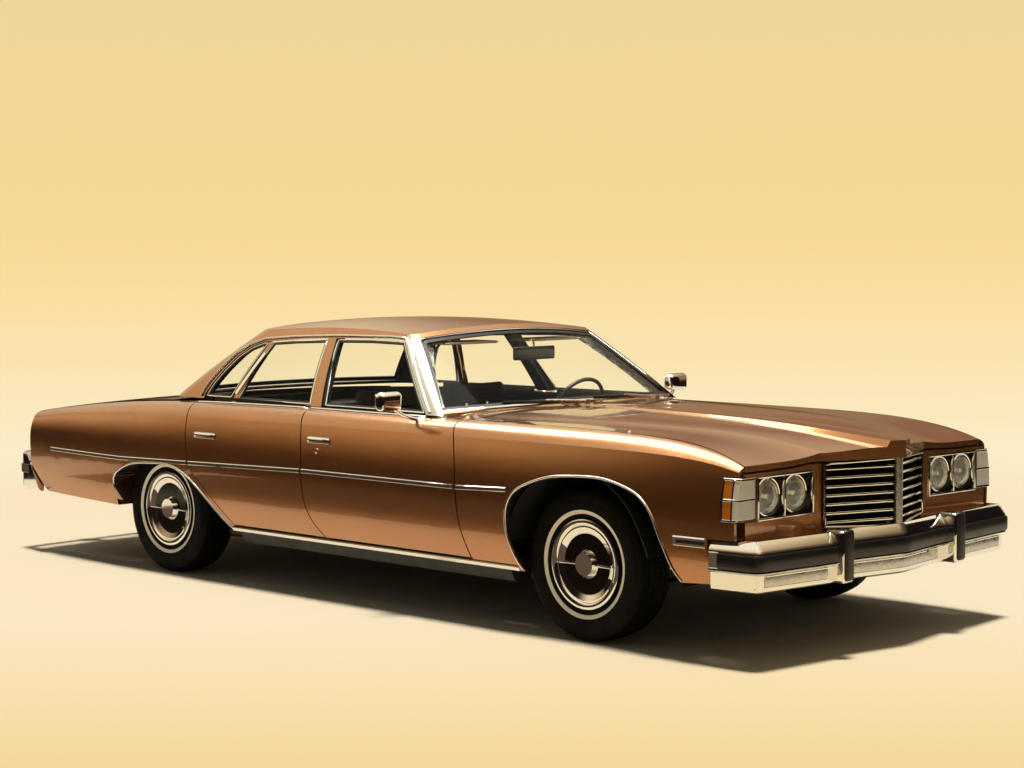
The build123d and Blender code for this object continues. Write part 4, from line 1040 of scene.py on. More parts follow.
def screen_outline(low_y, low_z, low_middle, high_y, high_z, high_middle, inset):
    """Closed front-view outline of a screen with bowed top and bottom, moved inwards."""
    def bowed(first, last, z, centre_z):
        bows = [1 - way ** 2 for way in spread(1, -1, 16)]
        return [(y, z + (centre_z - z) * bow) for y, bow in zip(spread(first, last, 16), bows)]

    low_y, high_y = low_y - inset * 1.25, high_y - inset * 1.1
    bottom = bowed(low_y, -low_y, low_z + inset, low_middle + inset)
    top = bowed(-high_y, high_y, high_z - inset, high_middle - inset)
    return straight_line(bottom + top + bottom[:1], 130)[:-1] + [Vector((*bottom[0], 0))]


# ---------------------------------------------------------------- front end
GRILLE_HALF, GRILLE_LOW, GRILLE_HIGH = 0.373, 0.540, 0.842
PROW, NOSE_FACE = 1.058, 0.922
PROW_SLOPE = (PROW - 0.931) / GRILLE_HALF
GRILLE_ROWS = 7
# outward distance and height of a bar's section, then outward distance and y of the centre bar's
BAR_SECTION = ((-0.026, -0.0040), (0.004, -0.0075), (0.0080, -0.0045), (0.0090, 0.0), (0.0080, 0.0045),
               (0.004, 0.0075), (-0.026, 0.0040))
CENTRE_SECTION = ((0, -0.024), (0.010, -0.024), (0.0145, -0.012), (0.0145, 0.012), (0.010, 0.024), (0, 0.024))
LAMP_CELLS = (0.447, 0.648, 0.830)
LAMP_Z = (0.626, 0.808)
LAMPS = ((0.742, 0.719), (0.554, 0.719))
LAMP_R = 0.072
LAMP_RING = ((0.0835, -0.020), (0.0855, -0.004), (0.0845, 0.004), (0.0800, 0.008), (0.0755, 0.006), (0.0735, 0.000),
             (0.0735, -0.006))
LAMP_BOWL = ((0.0, -0.052), (0.020, -0.050), (0.040, -0.043), (0.058, -0.030), (0.0715, -0.010), (0.0735, -0.002))
LAMP_LENS = [(LAMP_R * math.sin(math.pi / 16 * i), 0.003 + 0.014 * math.cos(math.pi / 16 * i)) for i in range(9)] + [
    (LAMP_R, -0.001), (0.050, 0.001), (0.0, 0.002)]
LAMP_BULB = ((0.0, -0.018), (0.010, -0.020), (0.014, -0.030), (0.012, -0.050))


def prow_x(y, depth):
    """Frame X of the grille's V at a distance from the middle, set back by a depth."""
    return at(PROW - PROW_SLOPE * abs(y) - depth)


class SALOON_OT_grille(bpy.types.Operator):
    """Dark core, fins and bright bars of the grille"""

    bl_idname = "saloon.grille"
    bl_label = "Grille"

    def execute(self, context):
        bm = bmesh.new()
        for sign in (1, -1):
            edge = [(prow_x(0, 0.062), 0.0), (prow_x(GRILLE_HALF, 0.062), sign * GRILLE_HALF)]
            core = [bm.verts.new((x, y, z)) for z in (GRILLE_LOW + 0.004, GRILLE_HIGH - 0.006) for x, y in edge]
            bm.faces.new((core[0], core[1], core[3], core[2]))
        bmesh.ops.remove_doubles(bm, verts=bm.verts[:], dist=1e-5)
        bmesh.ops.recalc_face_normals(bm, faces=bm.faces[:])
        bmesh.ops.solidify(bm, geom=bm.faces[:], thickness=0.004)
        finish_piece(bm, "grille_core", "black_rubber")
        bm = bmesh.new()
        for y in [i * 0.0098 for i in range(-36, 37) if abs(i) > 3]:
            add_block(bm, (prow_x(y, 0.060), y - 0.0011, GRILLE_LOW + 0.012),
                      (prow_x(y, 0.040), y + 0.0011, GRILLE_HIGH - 0.020))
        finish_piece(bm, "grille_fins", "black_rubber")
        bm = bmesh.new()
        bar_pitch = (GRILLE_HIGH - GRILLE_LOW - 0.028) / GRILLE_ROWS
        for sign in (1, -1):
            for row in range(GRILLE_ROWS):
                z = GRILLE_LOW + 0.014 + (row + 0.5) * bar_pitch
                add_sweep(bm, BAR_SECTION, [
                    Matrix.Translation((prow_x(y, 0.0055), sign * y, z)) @ Matrix.Rotation(math.pi / 2, 4, "X")
                    for y in (0.024, 0.120, 0.240, GRILLE_HALF - 0.008)])
        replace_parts(finish_piece(bm, "grille_bars", "bright_chrome"), "grille")
        heights = spread(GRILLE_LOW - 0.004, GRILLE_HIGH + 0.004, 12)
        swept("grille_centre", "satin_metal", CENTRE_SECTION,
              [Matrix.Translation((at(PROW) - 0.001, 0, z)) for z in heights])
        outline = [(-GRILLE_HALF, GRILLE_LOW + 0.016), (0, GRILLE_LOW), (GRILLE_HALF, GRILLE_LOW + 0.016),
                   (GRILLE_HALF, GRILLE_HIGH - 0.010), (0, GRILLE_HIGH - 0.002), (-GRILLE_HALF, GRILLE_HIGH - 0.010)]
        path = straight_line(outline + outline[:1], 61)[:-1]
        points = [Vector((prow_x(p.x, -0.002), p.x, p.y)) for p in path]
        frames = along(points + points[:1], [Vector((1, 0, 0))] * (len(points) + 1))[:-1]
        swept("grille_surround", "bright_chrome", half_round(0.011, 0.007), frames, closed_path=True)
        return {"FINISHED"}


class SALOON_OT_headlamps(bpy.types.Operator):
    """Four round lamps in bright square cells"""

    bl_idname = "saloon.headlamps"
    bl_label = "Headlamps"

    def execute(self, context):
        face = NOSE_FACE
        for side, sign in SIDES:
            blocks(f"lamp_cells_{side}", "black_rubber", [
                ((face - 0.046, face - 0.042), (sign * inner, sign * outer), LAMP_Z)
                for inner, outer in zip(LAMP_CELLS, LAMP_CELLS[1:])])
            depth = (face - 0.040, face + 0.006)
            bezel = blocks(f"lamp_bezel_{side}", "bright_chrome", [
                (depth, (sign * (y - 0.004), sign * (y + 0.004)), LAMP_Z) for y in LAMP_CELLS
            ] + [(depth, (sign * (LAMP_CELLS[0] - 0.004), sign * (LAMP_CELLS[-1] + 0.004)), (z - 0.005, z + 0.005))
                 for z in LAMP_Z], 0.0018, slot="lamp_glass")
            if side == "left":
                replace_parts(bezel, "headlamps")
            for number, (y, z) in enumerate(LAMPS):
                centre, tag = (at(face - 0.020), sign * y, z), f"{side}_{number}"
                turned(f"lamp_ring_{tag}", "bright_chrome", LAMP_RING, centre, steps=64, closed=False)
                turned(f"lamp_bowl_{tag}", "lamp_silver", LAMP_BOWL, centre, steps=64, closed=False)
                turned(f"lamp_lens_{tag}", "fluted_glass", LAMP_LENS, centre, steps=64)
                turned(f"lamp_bulb_{tag}", "lamp_silver", LAMP_BULB, centre, steps=32, closed=False)
        return {"FINISHED"}


# ---------------------------------------------------------------- bumpers
FRONT_BUMPER_LINE = ((0.782, 0.988), (1.026, 0.962), (1.076, 0.480), (1.052, 0.385), (1.113, 0.0))
# outward distance from that line and height
BUMPER_PROFILE = (
    (-0.054, 0.546), (-0.048, 0.552), (-0.036, 0.551), (-0.022, 0.536), (-0.008, 0.514), (-0.001, 0.503),
    (0.0, 0.498), (-0.003, 0.494), (-0.003, 0.430), (0.001, 0.427), (0.002, 0.420), (-0.003, 0.414), (-0.014, 0.409),
    (-0.018, 0.402), (-0.018, 0.352), (-0.022, 0.338), (-0.032, 0.330), (-0.054, 0.328),
)
STRIP_Z, STRIP_HALF = 0.462, 0.034
PANEL_Z, PANEL_HALF = 0.379, 0.021
GUARDS = {"front": (0.433, 0.040), "rear": (0.480, 0.037)}
STRIP_SECTION = (
    (-0.004, -STRIP_HALF), (0.004, -STRIP_HALF), (0.009, -STRIP_HALF + 0.007), (0.0095, 0.0),
    (0.009, STRIP_HALF - 0.007), (0.004, STRIP_HALF), (-0.004, STRIP_HALF))
PANEL_SECTION = (
    (-0.022, -PANEL_HALF), (-0.0155, -PANEL_HALF), (-0.0150, -PANEL_HALF + 0.003), (-0.0150, PANEL_HALF - 0.003),
    (-0.0155, PANEL_HALF), (-0.022, PANEL_HALF))
RIM_SECTION = ((-0.020, 0.0), (-0.0135, 0.001), (-0.0135, 0.005), (-0.020, 0.006))


def rounded_path(points, reach, steps=5):
    """Open plan line whose inner corners are rounded off."""
    points = [Vector((a, b, 0)) for a, b in points]
    made = [points[0]]
    for before, corner, after in zip(points, points[1:], points[2:]):
        first = corner + (before - corner).normalized() * reach
        last = corner + (after - corner).normalized() * reach
        made += [first.lerp(corner, share).lerp(corner.lerp(last, share), share) for share in spread(0, 1, steps)]
    return made + [points[-1]]


def bumper_line():
    """Fine points along the front bumper in plan, from left to right."""
    half = [(at(station), y) for station, y in FRONT_BUMPER_LINE]
    return even_line(rounded_path(half + [(x, -y) for x, y in reversed(half[:-1])], 0.030), 400)


def bumper_frames(z, first=0.0, last=1.0):
    """Matrices along the front bumper at a height, over a share of its length from left to right."""
    picked = bumper_line()[round(first * 399):round(last * 399) + 1]
    picked = [p for i, p in enumerate(picked) if i % 2 == 0 or i == len(picked) - 1]
    points = [Vector((p.x, p.y, z)) for p in picked]
    return along(points, [Vector((1.0, p.y * 0.9, 0)) for p in points])


def share_at(y):
    """Share of the front bumper's length at which its face passes a y value."""
    fine = bumper_line()
    return min((i for i, p in enumerate(fine) if p.x > at(0.990)), key=lambda i: abs(fine[i].y - y)) / 399


class SALOON_OT_bumpers(bpy.types.Operator):
    """Chrome bars, rubber strips, guards, pressed panels and brackets of the bumpers"""

    bl_idname = "saloon.bumpers"
    bl_label = "Bumpers"

    def execute(self, context):
        self.front()
        self.rear()
        blocks("bumper_brackets", "frame_black", [
            (stations, (sign * 0.405, sign * 0.465), heights)
            for stations, heights in (((1.060, 0.880), (0.372, 0.440)), ((-4.580, -4.340), (0.412, 0.472)))
            for _, sign in SIDES], 0.004)
        return {"FINISHED"}

    def front(self):
        """Front bar with its recessed strip, valance panels and two guards."""
        bar = swept("front_bumper_bar", "bright_chrome", BUMPER_PROFILE, bumper_frames(0.0))
        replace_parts(bar, "front_bumper")
        guard_y, guard_half = GUARDS["front"]
        near, gap = share_at(guard_y + guard_half + 0.002), share_at(guard_y - guard_half - 0.002)
        for name, first, last in (("left", 0.020, near), ("middle", gap, 1 - gap), ("right", 1 - near, 0.980)):
            swept(f"front_strip_{name}", "black_rubber", STRIP_SECTION, bumper_frames(STRIP_Z, first, last))
        wide, narrow, centre = share_at(0.905), share_at(0.515), share_at(0.345)
        for name, first, last in (("left", wide, narrow), ("middle", centre, 1 - centre),
                                  ("right", 1 - narrow, 1 - wide)):
            frames = bumper_frames(PANEL_Z, first, last)
            swept(f"front_panel_{name}", "satin_metal", PANEL_SECTION, frames)
            for label, lift in (("low", -PANEL_HALF - 0.006), ("high", PANEL_HALF)):
                swept(f"front_panel_rim_{name}_{label}", "bright_chrome", [(d, z + lift) for d, z in RIM_SECTION],
                      frames)
        for side, sign in SIDES:
            for piece, material, stations, half, heights in (
                    ("guard", "bright_chrome", (1.004, 1.108), guard_half, (0.332, 0.562)),
                    ("guard_pad", "black_rubber", (1.060, 1.1175), 0.033, (0.342, 0.566))):
                blocks(f"front_{piece}_{side}", material, [
                    (stations, (sign * (guard_y - half), sign * (guard_y + half)), heights)], 0.016, 4)

    def rear(self):
        """Strips and guard pads of the rear bumper."""
        rear = skin("rear_bumper")
        guard_y, guard_half = GUARDS["rear"]
        section = flat_bar(0.052, 0.010, 0.004)
        for side, sign in SIDES:
            strip = end_run(rear, (sign * (guard_y + guard_half + 0.004), sign * 0.915), (0.487, 0.487), -1, 30)
            strip += side_run(rear, (-4.555, -4.440), (0.487, 0.487), sign, 12)
            lay(f"rear_strip_{side}", "black_rubber", strip, section)
            blocks(f"rear_guard_pad_{side}", "black_rubber", [
                ((-4.6285, -4.580), (sign * (guard_y - 0.032), sign * (guard_y + 0.032)), (0.378, 0.592))], 0.014, 3)
        lay("rear_strip_middle", "black_rubber", end_run(rear, (-0.436, 0.436), (0.487, 0.487), -1, 24), section)


# ---------------------------------------------------------------- corner lamps and fender strips
class SALOON_OT_corner_lamps(bpy.types.Operator):
    """Bright frames of the corner lamps and the short strips on the fenders"""

    bl_idname = "saloon.corner_lamps"
    bl_label = "Corner lamps"

    def execute(self, context):
        lamps = skin("corner_lamps")
        for side, sign in SIDES:
            for z in (0.633, 0.719, 0.805):
                hits = side_run(lamps, (0.844, 0.900), (z, z), sign, 8)
                hits += end_run(lamps, (sign * 0.957, sign * 0.845), (z, z), 1, 10)
                lay(f"corner_frame_{side}_{round(z * 1000)}", "bright_chrome", hits, flat_bar(0.010, 0.005))
            runs = [(f"upright_{side}_{round(s * 1000)}", side_run(lamps, (s, s), (0.634, 0.804), sign, 6))
                    for s in (0.846, 0.893)]
            runs.append((f"inner_{side}", end_run(lamps, (sign * 0.845, sign * 0.845), (0.634, 0.804), 1, 6)))
            for label, hits in runs:
                lay(f"corner_{label}", "bright_chrome", hits, flat_bar(0.008, 0.005))
            hits = side_run(skin(f"front_fender_{side}"), (0.598, 0.764), (0.530, 0.530), sign, 10)
            lay(f"fender_strip_{side}", "bright_chrome", hits, flat_bar(0.044, 0.010, 0.005))
            lay(f"fender_strip_insert_{side}", "black_rubber", hits[1:], flat_bar(0.018, 0.0115, 0.002))
        return {"FINISHED"}


# ---------------------------------------------------------------- door hardware and mirrors
HANDLES = (("rear_door_{}", -2.770, -2.596, 0.790), ("front_door_{}", -1.833, -1.669, 0.818))
# how far the grip stands off along its length
GRIP_RISE = (0.0, 0.6, 0.92, 1.0, 1.0, 1.0, 1.0, 1.0, 1.0, 1.0, 0.92, 0.6, 0.0)
GRIP_SECTION = ((-0.002, -0.011), (0.005, -0.012), (0.009, -0.006), (0.009, 0.006), (0.005, 0.012), (-0.002, 0.011))


class SALOON_OT_door_hardware(bpy.types.Operator):
    """Pull handles, locks and door mirrors"""

    bl_idname = "saloon.door_hardware"
    bl_label = "Handles and mirrors"

    def execute(self, context):
        for side, sign in SIDES:
            for door, rear, front, z in HANDLES:
                door = door.format(side)
                hits = side_run(skin(door), (rear, front), (z, z), sign, 12)
                grip = [(point + normal * 0.018 * share, normal) for (point, normal), share in zip(hits, GRIP_RISE)]
                lay(f"handle_grip_{door}", "bright_chrome", grip, GRIP_SECTION, body=door)
                lay(f"handle_plate_{door}", "bright_chrome", hits, flat_bar(0.032, 0.003, 0.001), body=door)
                lay(f"handle_recess_{door}", "black_rubber", hits[1:-1], flat_bar(0.024, 0.0036, 0.0006), body=door,
                    slot="cabin_vinyl")
            body = f"front_door_{side}"
            point, normal = on_side(skin(body), at(-1.752), 0.765, sign)
            turned(f"door_lock_{side}", "bright_chrome", [
                (0.014, -0.004), (0.014, 0.003), (0.011, 0.005), (0.008, 0.0045), (0.0, 0.0045)], point, normal, 32,
                body=body, closed=False)
            shell = blocks(f"mirror_shell_{side}", "bright_chrome", [
                ((-1.166, -1.108), (sign * 0.992, sign * 1.138), (0.999, 1.093))], 0.026, 5, body=body, angle=50)
            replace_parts(shell, f"door_mirror_{side}")
            blocks(f"mirror_glass_{side}", "mirror_glass", [
                ((-1.1685, -1.162), (sign * 1.003, sign * 1.127), (1.010, 1.082))], 0.003, body=body)
            pipe(f"mirror_stem_{side}", "bright_chrome", [
                (-1.135, sign * 1.050, 1.020), (-1.120, sign * 1.010, 0.985), (-1.100, sign * 0.955, 0.962),
                (-1.085, sign * 0.905, 0.950)], 0.009, 12, body=body)
            turned(f"mirror_foot_{side}", "bright_chrome", [
                (0.030, -0.012), (0.030, -0.002), (0.022, 0.006), (0.010, 0.009), (0.0, 0.010)],
                (at(-1.085), sign * 0.903, 0.958), (0, sign * 0.35, 1), 32, body=body, closed=False)
        return {"FINISHED"}


# ---------------------------------------------------------------- wipers and tail
class SALOON_OT_cowl_details(bpy.types.Operator):
    """Wiper blades and arms"""

    bl_idname = "saloon.cowl_details"
    bl_label = "Wipers and cowl"

    def execute(self, context):
        screen, cowl = skin("windshield"), skin("cowl", "hood")
        section = [(-0.006, -0.003), (0.006, -0.006), (0.010, 0.0), (0.006, 0.006), (-0.006, 0.003)]
        for number, (pivot_y, tip_y) in enumerate(((0.52, 0.06), (-0.06, -0.52))):
            hits = end_run(screen, (pivot_y, tip_y), (1.006, 1.018), 1, 14)
            blade = [(point + normal * 0.008, normal) for point, normal in filter(None, hits)]
            lay(f"wiper_blade_{number}", "black_rubber", blade, section)
            foot, _ = on_top(cowl, at(-0.755 - 0.10 * abs(pivot_y)), pivot_y)
            tip = blade[len(blade) // 2][0] + Vector((0.012, 0, 0.010))
            bm = bmesh.new()
            add_rod(bm, foot + Vector((0, 0, 0.014)), tip, 0.005, 8)
            add_rod(bm, foot - Vector((0, 0, 0.008)), foot + Vector((0, 0, 0.020)), 0.012, 16)
            finish_piece(bm, f"wiper_arm_{number}", "satin_metal")
        return {"FINISHED"}


class SALOON_OT_tail(bpy.types.Operator):
    """Tail lamp frames, plate, lid lock and tail trim"""

    bl_idname = "saloon.tail"
    bl_label = "Tail"

    def execute(self, context):
        lamps, lid = skin("tail_lamps", "tail_panel", "quarter_panel_left", "quarter_panel_right"), skin("trunk_lid")
        for side, sign in SIDES:
            for z in (0.602, 0.663, 0.724):
                lay(f"tail_frame_{side}_{round(z * 1000)}", "bright_chrome",
                    end_run(lamps, (sign * 0.474, sign * 0.906), (z, z), -1, 20), half_round(0.009, 0.005))
            for y in (0.474, 0.618, 0.762, 0.906):
                lay(f"tail_upright_{side}_{round(y * 1000)}", "bright_chrome",
                    end_run(lamps, (sign * y, sign * y), (0.602, 0.724), -1, 6), half_round(0.008, 0.005))
            lay(f"reversing_lens_{side}", "white_lens",
                end_run(lamps, (sign * 0.640, sign * 0.740), (0.632, 0.632), -1, 8), flat_bar(0.044, 0.003, 0.001))
        lay("lid_strip", "bright_chrome", end_run(lid, (-0.780, 0.780), (0.772, 0.772), -1, 40),
            flat_bar(0.026, 0.006, 0.002), body="trunk_lid")
        turned("lid_lock", "bright_chrome", [
            (0.022, -0.004), (0.022, 0.004), (0.017, 0.008), (0.009, 0.009), (0.008, 0.006), (0.0, 0.006)],
            *from_end(lid, 0.0, 0.805, -1), 40, body="trunk_lid", closed=False)
        plate_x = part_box("tail_panel")[0].x
        bm = bmesh.new()
        add_block(bm, (plate_x - 0.0035, -0.152, 0.585), (plate_x - 0.001, 0.152, 0.737), 0.0008, 1)
        finish_piece(bm, "plate_blank", "plate_white", slot="bright_chrome")
        bm = bmesh.new()
        for y in (-0.089, 0.089):
            for z in (0.6005, 0.7215):
                add_turned(bm, [(0.006, 0.003), (0.0055, 0.0055), (0.003, 0.0068), (0.0, 0.0070)],
                           (plate_x, y, z), (-1, 0, 0), 12)
        finish_piece(bm, "plate_screws", "bright_chrome", closed=False)
        return {"FINISHED"}


# ---------------------------------------------------------------- body fillers and linings
def crossings(line, y):
    """Points where an open line of 2-D points passes a y value."""
    return [a.lerp(b, (y - a.y) / (b.y - a.y)) for a, b in zip(line, line[1:])
            if (a.y - y) * (b.y - y) <= 0 and a.y != b.y]


def sheet(name, material, rows, thickness, turn=False):
    """Thin sheet between two lines, given as a row of two points for each step."""
    bm = bmesh.new()
    made = [[bm.verts.new(point) for point in row] for row in rows]
    for a, b in zip(made, made[1:]):
        bm.faces.new((a[0], b[0], b[1], a[1]))
    if turn:
        bmesh.ops.recalc_face_normals(bm, faces=bm.faces[:])
    bmesh.ops.solidify(bm, geom=bm.faces[:], thickness=thickness)
    return finish_piece(bm, name, material)


class SALOON_OT_fillers(bpy.types.Operator):
    """Body-coloured filler behind the front bumper and black linings inside the wheel arches"""

    bl_idname = "saloon.fillers"
    bl_label = "Fillers and linings"

    def execute(self, context):
        line = rounded_path(FRONT_BUMPER_LINE, 0.030)
        rows = [((at(max(p.x for p in crossings(line, abs(y))) - 0.050), y, 0.5335), (at(0.905), y, 0.5385))
                for y in spread(-0.930, 0.930, 48)]
        sheet("bumper_filler", "body_paint", rows, 0.003, turn=True)
        for end, outline in ARCHES.items():
            for side, sign in SIDES:
                tree = skin({"front": "front_fender_", "rear": "quarter_panel_"}[end] + side)
                rows = []
                for point in smooth_line(outline, 60):
                    x, z = at(point.x), point.y + 0.002
                    hit = on_side(tree, x, point.y + 0.012, sign) or on_side(tree, x, point.y + 0.030, sign)
                    if hit:
                        rows.append(((x, hit[0].y - sign * 0.004, z), (x, sign * 0.52, z)))
                sheet(f"arch_lining_{end}_{side}", "frame_black", rows, 0.002)
        return {"FINISHED"}


# ---------------------------------------------------------------- cabin
DASH_RUNS = (
    ("dash_rim_high", 0.180, 0.600, 0.852, 0.008, "bright_chrome"),
    ("dash_rim_low", 0.180, 0.600, 0.748, 0.008, "bright_chrome"),
    ("radio_face", -0.110, 0.130, 0.800, 0.060, "black_rubber"),
    ("glove_rim_high", -0.640, -0.160, 0.842, 0.006, "bright_chrome"),
    ("glove_rim_low", -0.640, -0.160, 0.702, 0.006, "bright_chrome"),
    ("dash_wood_right", -0.630, -0.170, 0.800, 0.064, "wood_grain"),
    ("dash_wood_middle", -0.120, 0.140, 0.735, 0.040, "wood_grain"),
)
GAUGE_Z = 0.800
GAUGES = ((0.290, 0.042), (0.395, 0.046), (0.500, 0.042))
NEEDLE_TURN = 2.0
ARMREST = ((0.004, -0.030), (0.048, -0.026), (0.062, -0.012), (0.064, 0.012), (0.056, 0.024), (0.004, 0.034))
HEADROOM = 1.10


class SALOON_OT_cabin(bpy.types.Operator):
    """Dashboard detail, door cards, headliner, visors and pedals"""

    bl_idname = "saloon.cabin"
    bl_label = "Cabin"

    def execute(self, context):
        self.dash()
        self.doors()
        self.overhead()
        self.floor()
        return {"FINISHED"}

    def dash(self):
        """Instrument panel, vents, radio, glove box and wood."""
        tree = skin("dashboard")
        lay("dash_panel", "dark_chrome_and_painted_reflection", end_run(tree, (0.190, 0.590), (GAUGE_Z, GAUGE_Z), -1, 10),
            flat_bar(0.100, 0.004, 0.001))
        for name, first, last, z, height, material in DASH_RUNS:
            lay(name, material, end_run(tree, (first, last), (z, z), -1, 10), flat_bar(height, 0.005, 0.001),
                slot="cabin_vinyl")
        for number, (y, radius) in enumerate(GAUGES):
            self.gauge(number, radius, *from_end(tree, y, GAUGE_Z, -1))
        for number, y in enumerate((-0.085, 0.105)):
            turned(f"radio_knob_{number}", "bright_chrome", [
                (0.014, 0.002), (0.014, 0.012), (0.012, 0.020), (0.010, 0.021), (0.0, 0.021)],
                *from_end(tree, y, GAUGE_Z, -1), 32, closed=False)
        for number, y in enumerate((-0.720, -0.145, 0.155, 0.700)):
            lay(f"vent_frame_{number}", "dark_chrome_and_painted_reflection", end_run(tree, (y - 0.050, y + 0.050), (0.830, 0.830), -1, 4),
                flat_bar(0.052, 0.006, 0.002))
            for row, z in enumerate(spread(0.812, 0.848, 3)):
                lay(f"vent_slat_{number}_{row}", "black_rubber", end_run(tree, (y - 0.044, y + 0.044), (z, z), -1, 4),
                    half_round(0.004, 0.009), slot="cabin_vinyl")

    def gauge(self, number, radius, point, normal):
        """Dial with its rim, marks and needle."""
        turned(f"gauge_rim_{number}", "bright_chrome", [
            (radius + 0.004, 0.000), (radius + 0.004, 0.008), (radius, 0.012), (radius - 0.003, 0.008),
            (radius - 0.003, 0.000)], point, normal, 48, closed=False)
        turned(f"gauge_dial_{number}", "dial_face", [
            (radius - 0.002, 0.003), (radius - 0.002, 0.006), (0.0, 0.006)], point, normal, 48, closed=False)
        across = normal.orthogonal().normalized()
        up = normal.cross(across)

        def spot(turn, share, lift):
            return point + normal * lift + (across * math.cos(turn) + up * math.sin(turn)) * radius * share

        bm = bmesh.new()
        for degrees in spread(-130, 130, 10):
            turn = math.radians(degrees)
            add_rod(bm, spot(turn, 0.72, 0.0065), spot(turn, 0.90, 0.0065), 0.0009, 6)
        add_rod(bm, spot(0, 0, 0.0085), spot(NEEDLE_TURN, 0.7, 0.0085), 0.0011, 6)
        add_rod(bm, spot(0, 0, 0.006), spot(0, 0, 0.011), 0.006, 16)
        finish_piece(bm, f"gauge_marks_{number}", "plate_white")

    def doors(self):
        """Door cards with their rails, armrests and pull handles."""
        for end, first, last in (("front", -1.780, -0.830), ("rear", -2.560, -1.930)):
            for side, sign in SIDES:
                tag, body = f"{end}_{side}", f"{end}_door_{side}"
                tree = skin(body)

                def inside(z):
                    return [probe(tree, (at(s), sign * 0.5, z), (0, sign, 0)) for s in spread(first, last, 12)]

                lay(f"door_card_{tag}", "seat_fabric", inside(0.640), flat_bar(0.420, 0.008, 0.004), body=body)
                for z in (0.426, 0.854):
                    lay(f"card_rail_{tag}_{round(z * 1000)}", "bright_chrome", inside(z), half_round(0.010, 0.006),
                        body=body)
                lay(f"armrest_{tag}", "cabin_vinyl", inside(0.600)[2:-2], ARMREST, body=body)
                lay(f"inner_handle_{tag}", "bright_chrome", inside(0.760)[7:10], half_round(0.020, 0.018), body=body)

    def overhead(self):
        """Headliner, visors, lamp and mirror."""
        roof, up = skin("roof"), (0, 0, 1)
        bm = bmesh.new()
        columns = []
        for i, station in enumerate(spread(-2.72, -1.38, 21)):
            hits = [probe(roof, (at(station), y, HEADROOM), up) for y in spread(-0.500, 0.500, 20)]
            gap = Vector((0, 0, 0.006 + 0.002 * (i % 7 == 3)))
            columns.append([bm.verts.new(hit[0] - gap) for hit in hits if hit])
        for a, b in zip(columns, columns[1:]):
            for k in range(len(a) - 1 if len(a) == len(b) else 0):
                bm.faces.new((a[k], a[k + 1], b[k + 1], b[k]))
        bmesh.ops.solidify(bm, geom=bm.faces[:], thickness=0.003)
        finish_piece(bm, "headliner", "headliner_cloth")
        for side, sign in SIDES:
            blocks(f"visor_{side}", "headliner_cloth", [
                ((-1.500, -1.330), (sign * 0.130, sign * 0.480), (1.292, 1.306))], 0.006, 3)
            rods(f"visor_arm_{side}", "bright_chrome", [
                ((-1.336, sign * 0.120, 1.299), (-1.336, sign * 0.500, 1.299))], 0.004)
        ceiling, _ = probe(roof, (at(-1.980), 0.0, HEADROOM), up)
        turned("dome_lamp", "lamp_plastic", [
            (0.062, 0.010), (0.062, 0.002), (0.056, -0.006), (0.030, -0.010), (0.0, -0.011)],
            (at(-1.980), 0.0, ceiling.z - 0.012), up, 40, closed=False)
        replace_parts(blocks("cabin_mirror", "black_rubber", [((-1.206, -1.184), (-0.150, 0.150), (1.206, 1.276))],
                           0.010, 3, slot="cabin_vinyl"), "interior_mirror")
        blocks("cabin_mirror_glass", "mirror_glass", [
            ((-1.2075, -1.204), (-0.142, 0.142), (1.212, 1.270))], 0.0012, 1)
        rods("cabin_mirror_stem", "bright_chrome", [((-1.192, 0.0, 1.262), (-1.205, 0.0, 1.322))], 0.006)

    def floor(self):
        """Pedals."""
        blocks("pedals", "black_rubber", [
            ((-0.800, -0.812), (0.330, 0.420), (0.380, 0.450)), ((-0.770, -0.780), (0.215, 0.265), (0.330, 0.460))],
            0.004, slot="cabin_vinyl")
        rods("pedal_arms", "frame_black", [
            ((-0.802, 0.375, 0.420), (-0.700, 0.375, 0.640)),
            ((-0.772, 0.240, 0.440), (-0.690, 0.240, 0.560))], 0.007)


# ---------------------------------------------------------------- seats
# centre (station, y, z), size (depth, width, thickness), tilt in degrees, voxel, furthest swelling, replaced node
PADS = {
    "front_cushion": ((-1.565, 0.0, 0.488), (0.490, 1.330, 0.118), -4.5, 0.011, 0.026, "front_seat"),
    "front_back": ((-1.902, 0.0, 0.715), (0.440, 1.330, 0.096), 72.0, 0.011, 0.026, None),
    "front_headrest_left": ((-1.962, 0.330, 0.985), (0.104, 0.400, 0.070), 76.0, 0.006, 0.012, None),
    "front_headrest_right": ((-1.962, -0.330, 0.985), (0.104, 0.400, 0.070), 76.0, 0.006, 0.012, None),
    "rear_cushion": ((-2.555, 0.0, 0.462), (0.450, 1.200, 0.110), -4.5, 0.011, 0.026, "rear_seat"),
    "rear_back": ((-2.862, 0.0, 0.684), (0.340, 1.200, 0.084), 71.0, 0.011, 0.024, None),
}
CHANNEL_PITCH, CHANNEL_DEPTH, CHANNEL_WIDTH = 0.066, 0.0075, 0.0065
SEAM_INSET = 0.075
PIPING_R = 0.0045
PRESSURE, FRAMES = 4.0, 20


def baked(obj):
    """Mesh of an object with its modifiers applied."""
    depsgraph = bpy.context.evaluated_depsgraph_get()
    return bpy.data.meshes.new_from_object(obj.evaluated_get(depsgraph))


def rough_pad(name, size, voxel):
    """Evenly gridded rounded block, ready to be blown up."""
    bm = bmesh.new()
    add_block(bm, [-d / 2 for d in size], [d / 2 for d in size], size[2] * 0.40, 4)
    obj = add_object(name, bm)
    grid = obj.modifiers.new("grid", "REMESH")
    grid.mode, grid.voxel_size = "VOXEL", voxel
    obj.data = baked(obj)
    obj.modifiers.clear()
    return obj


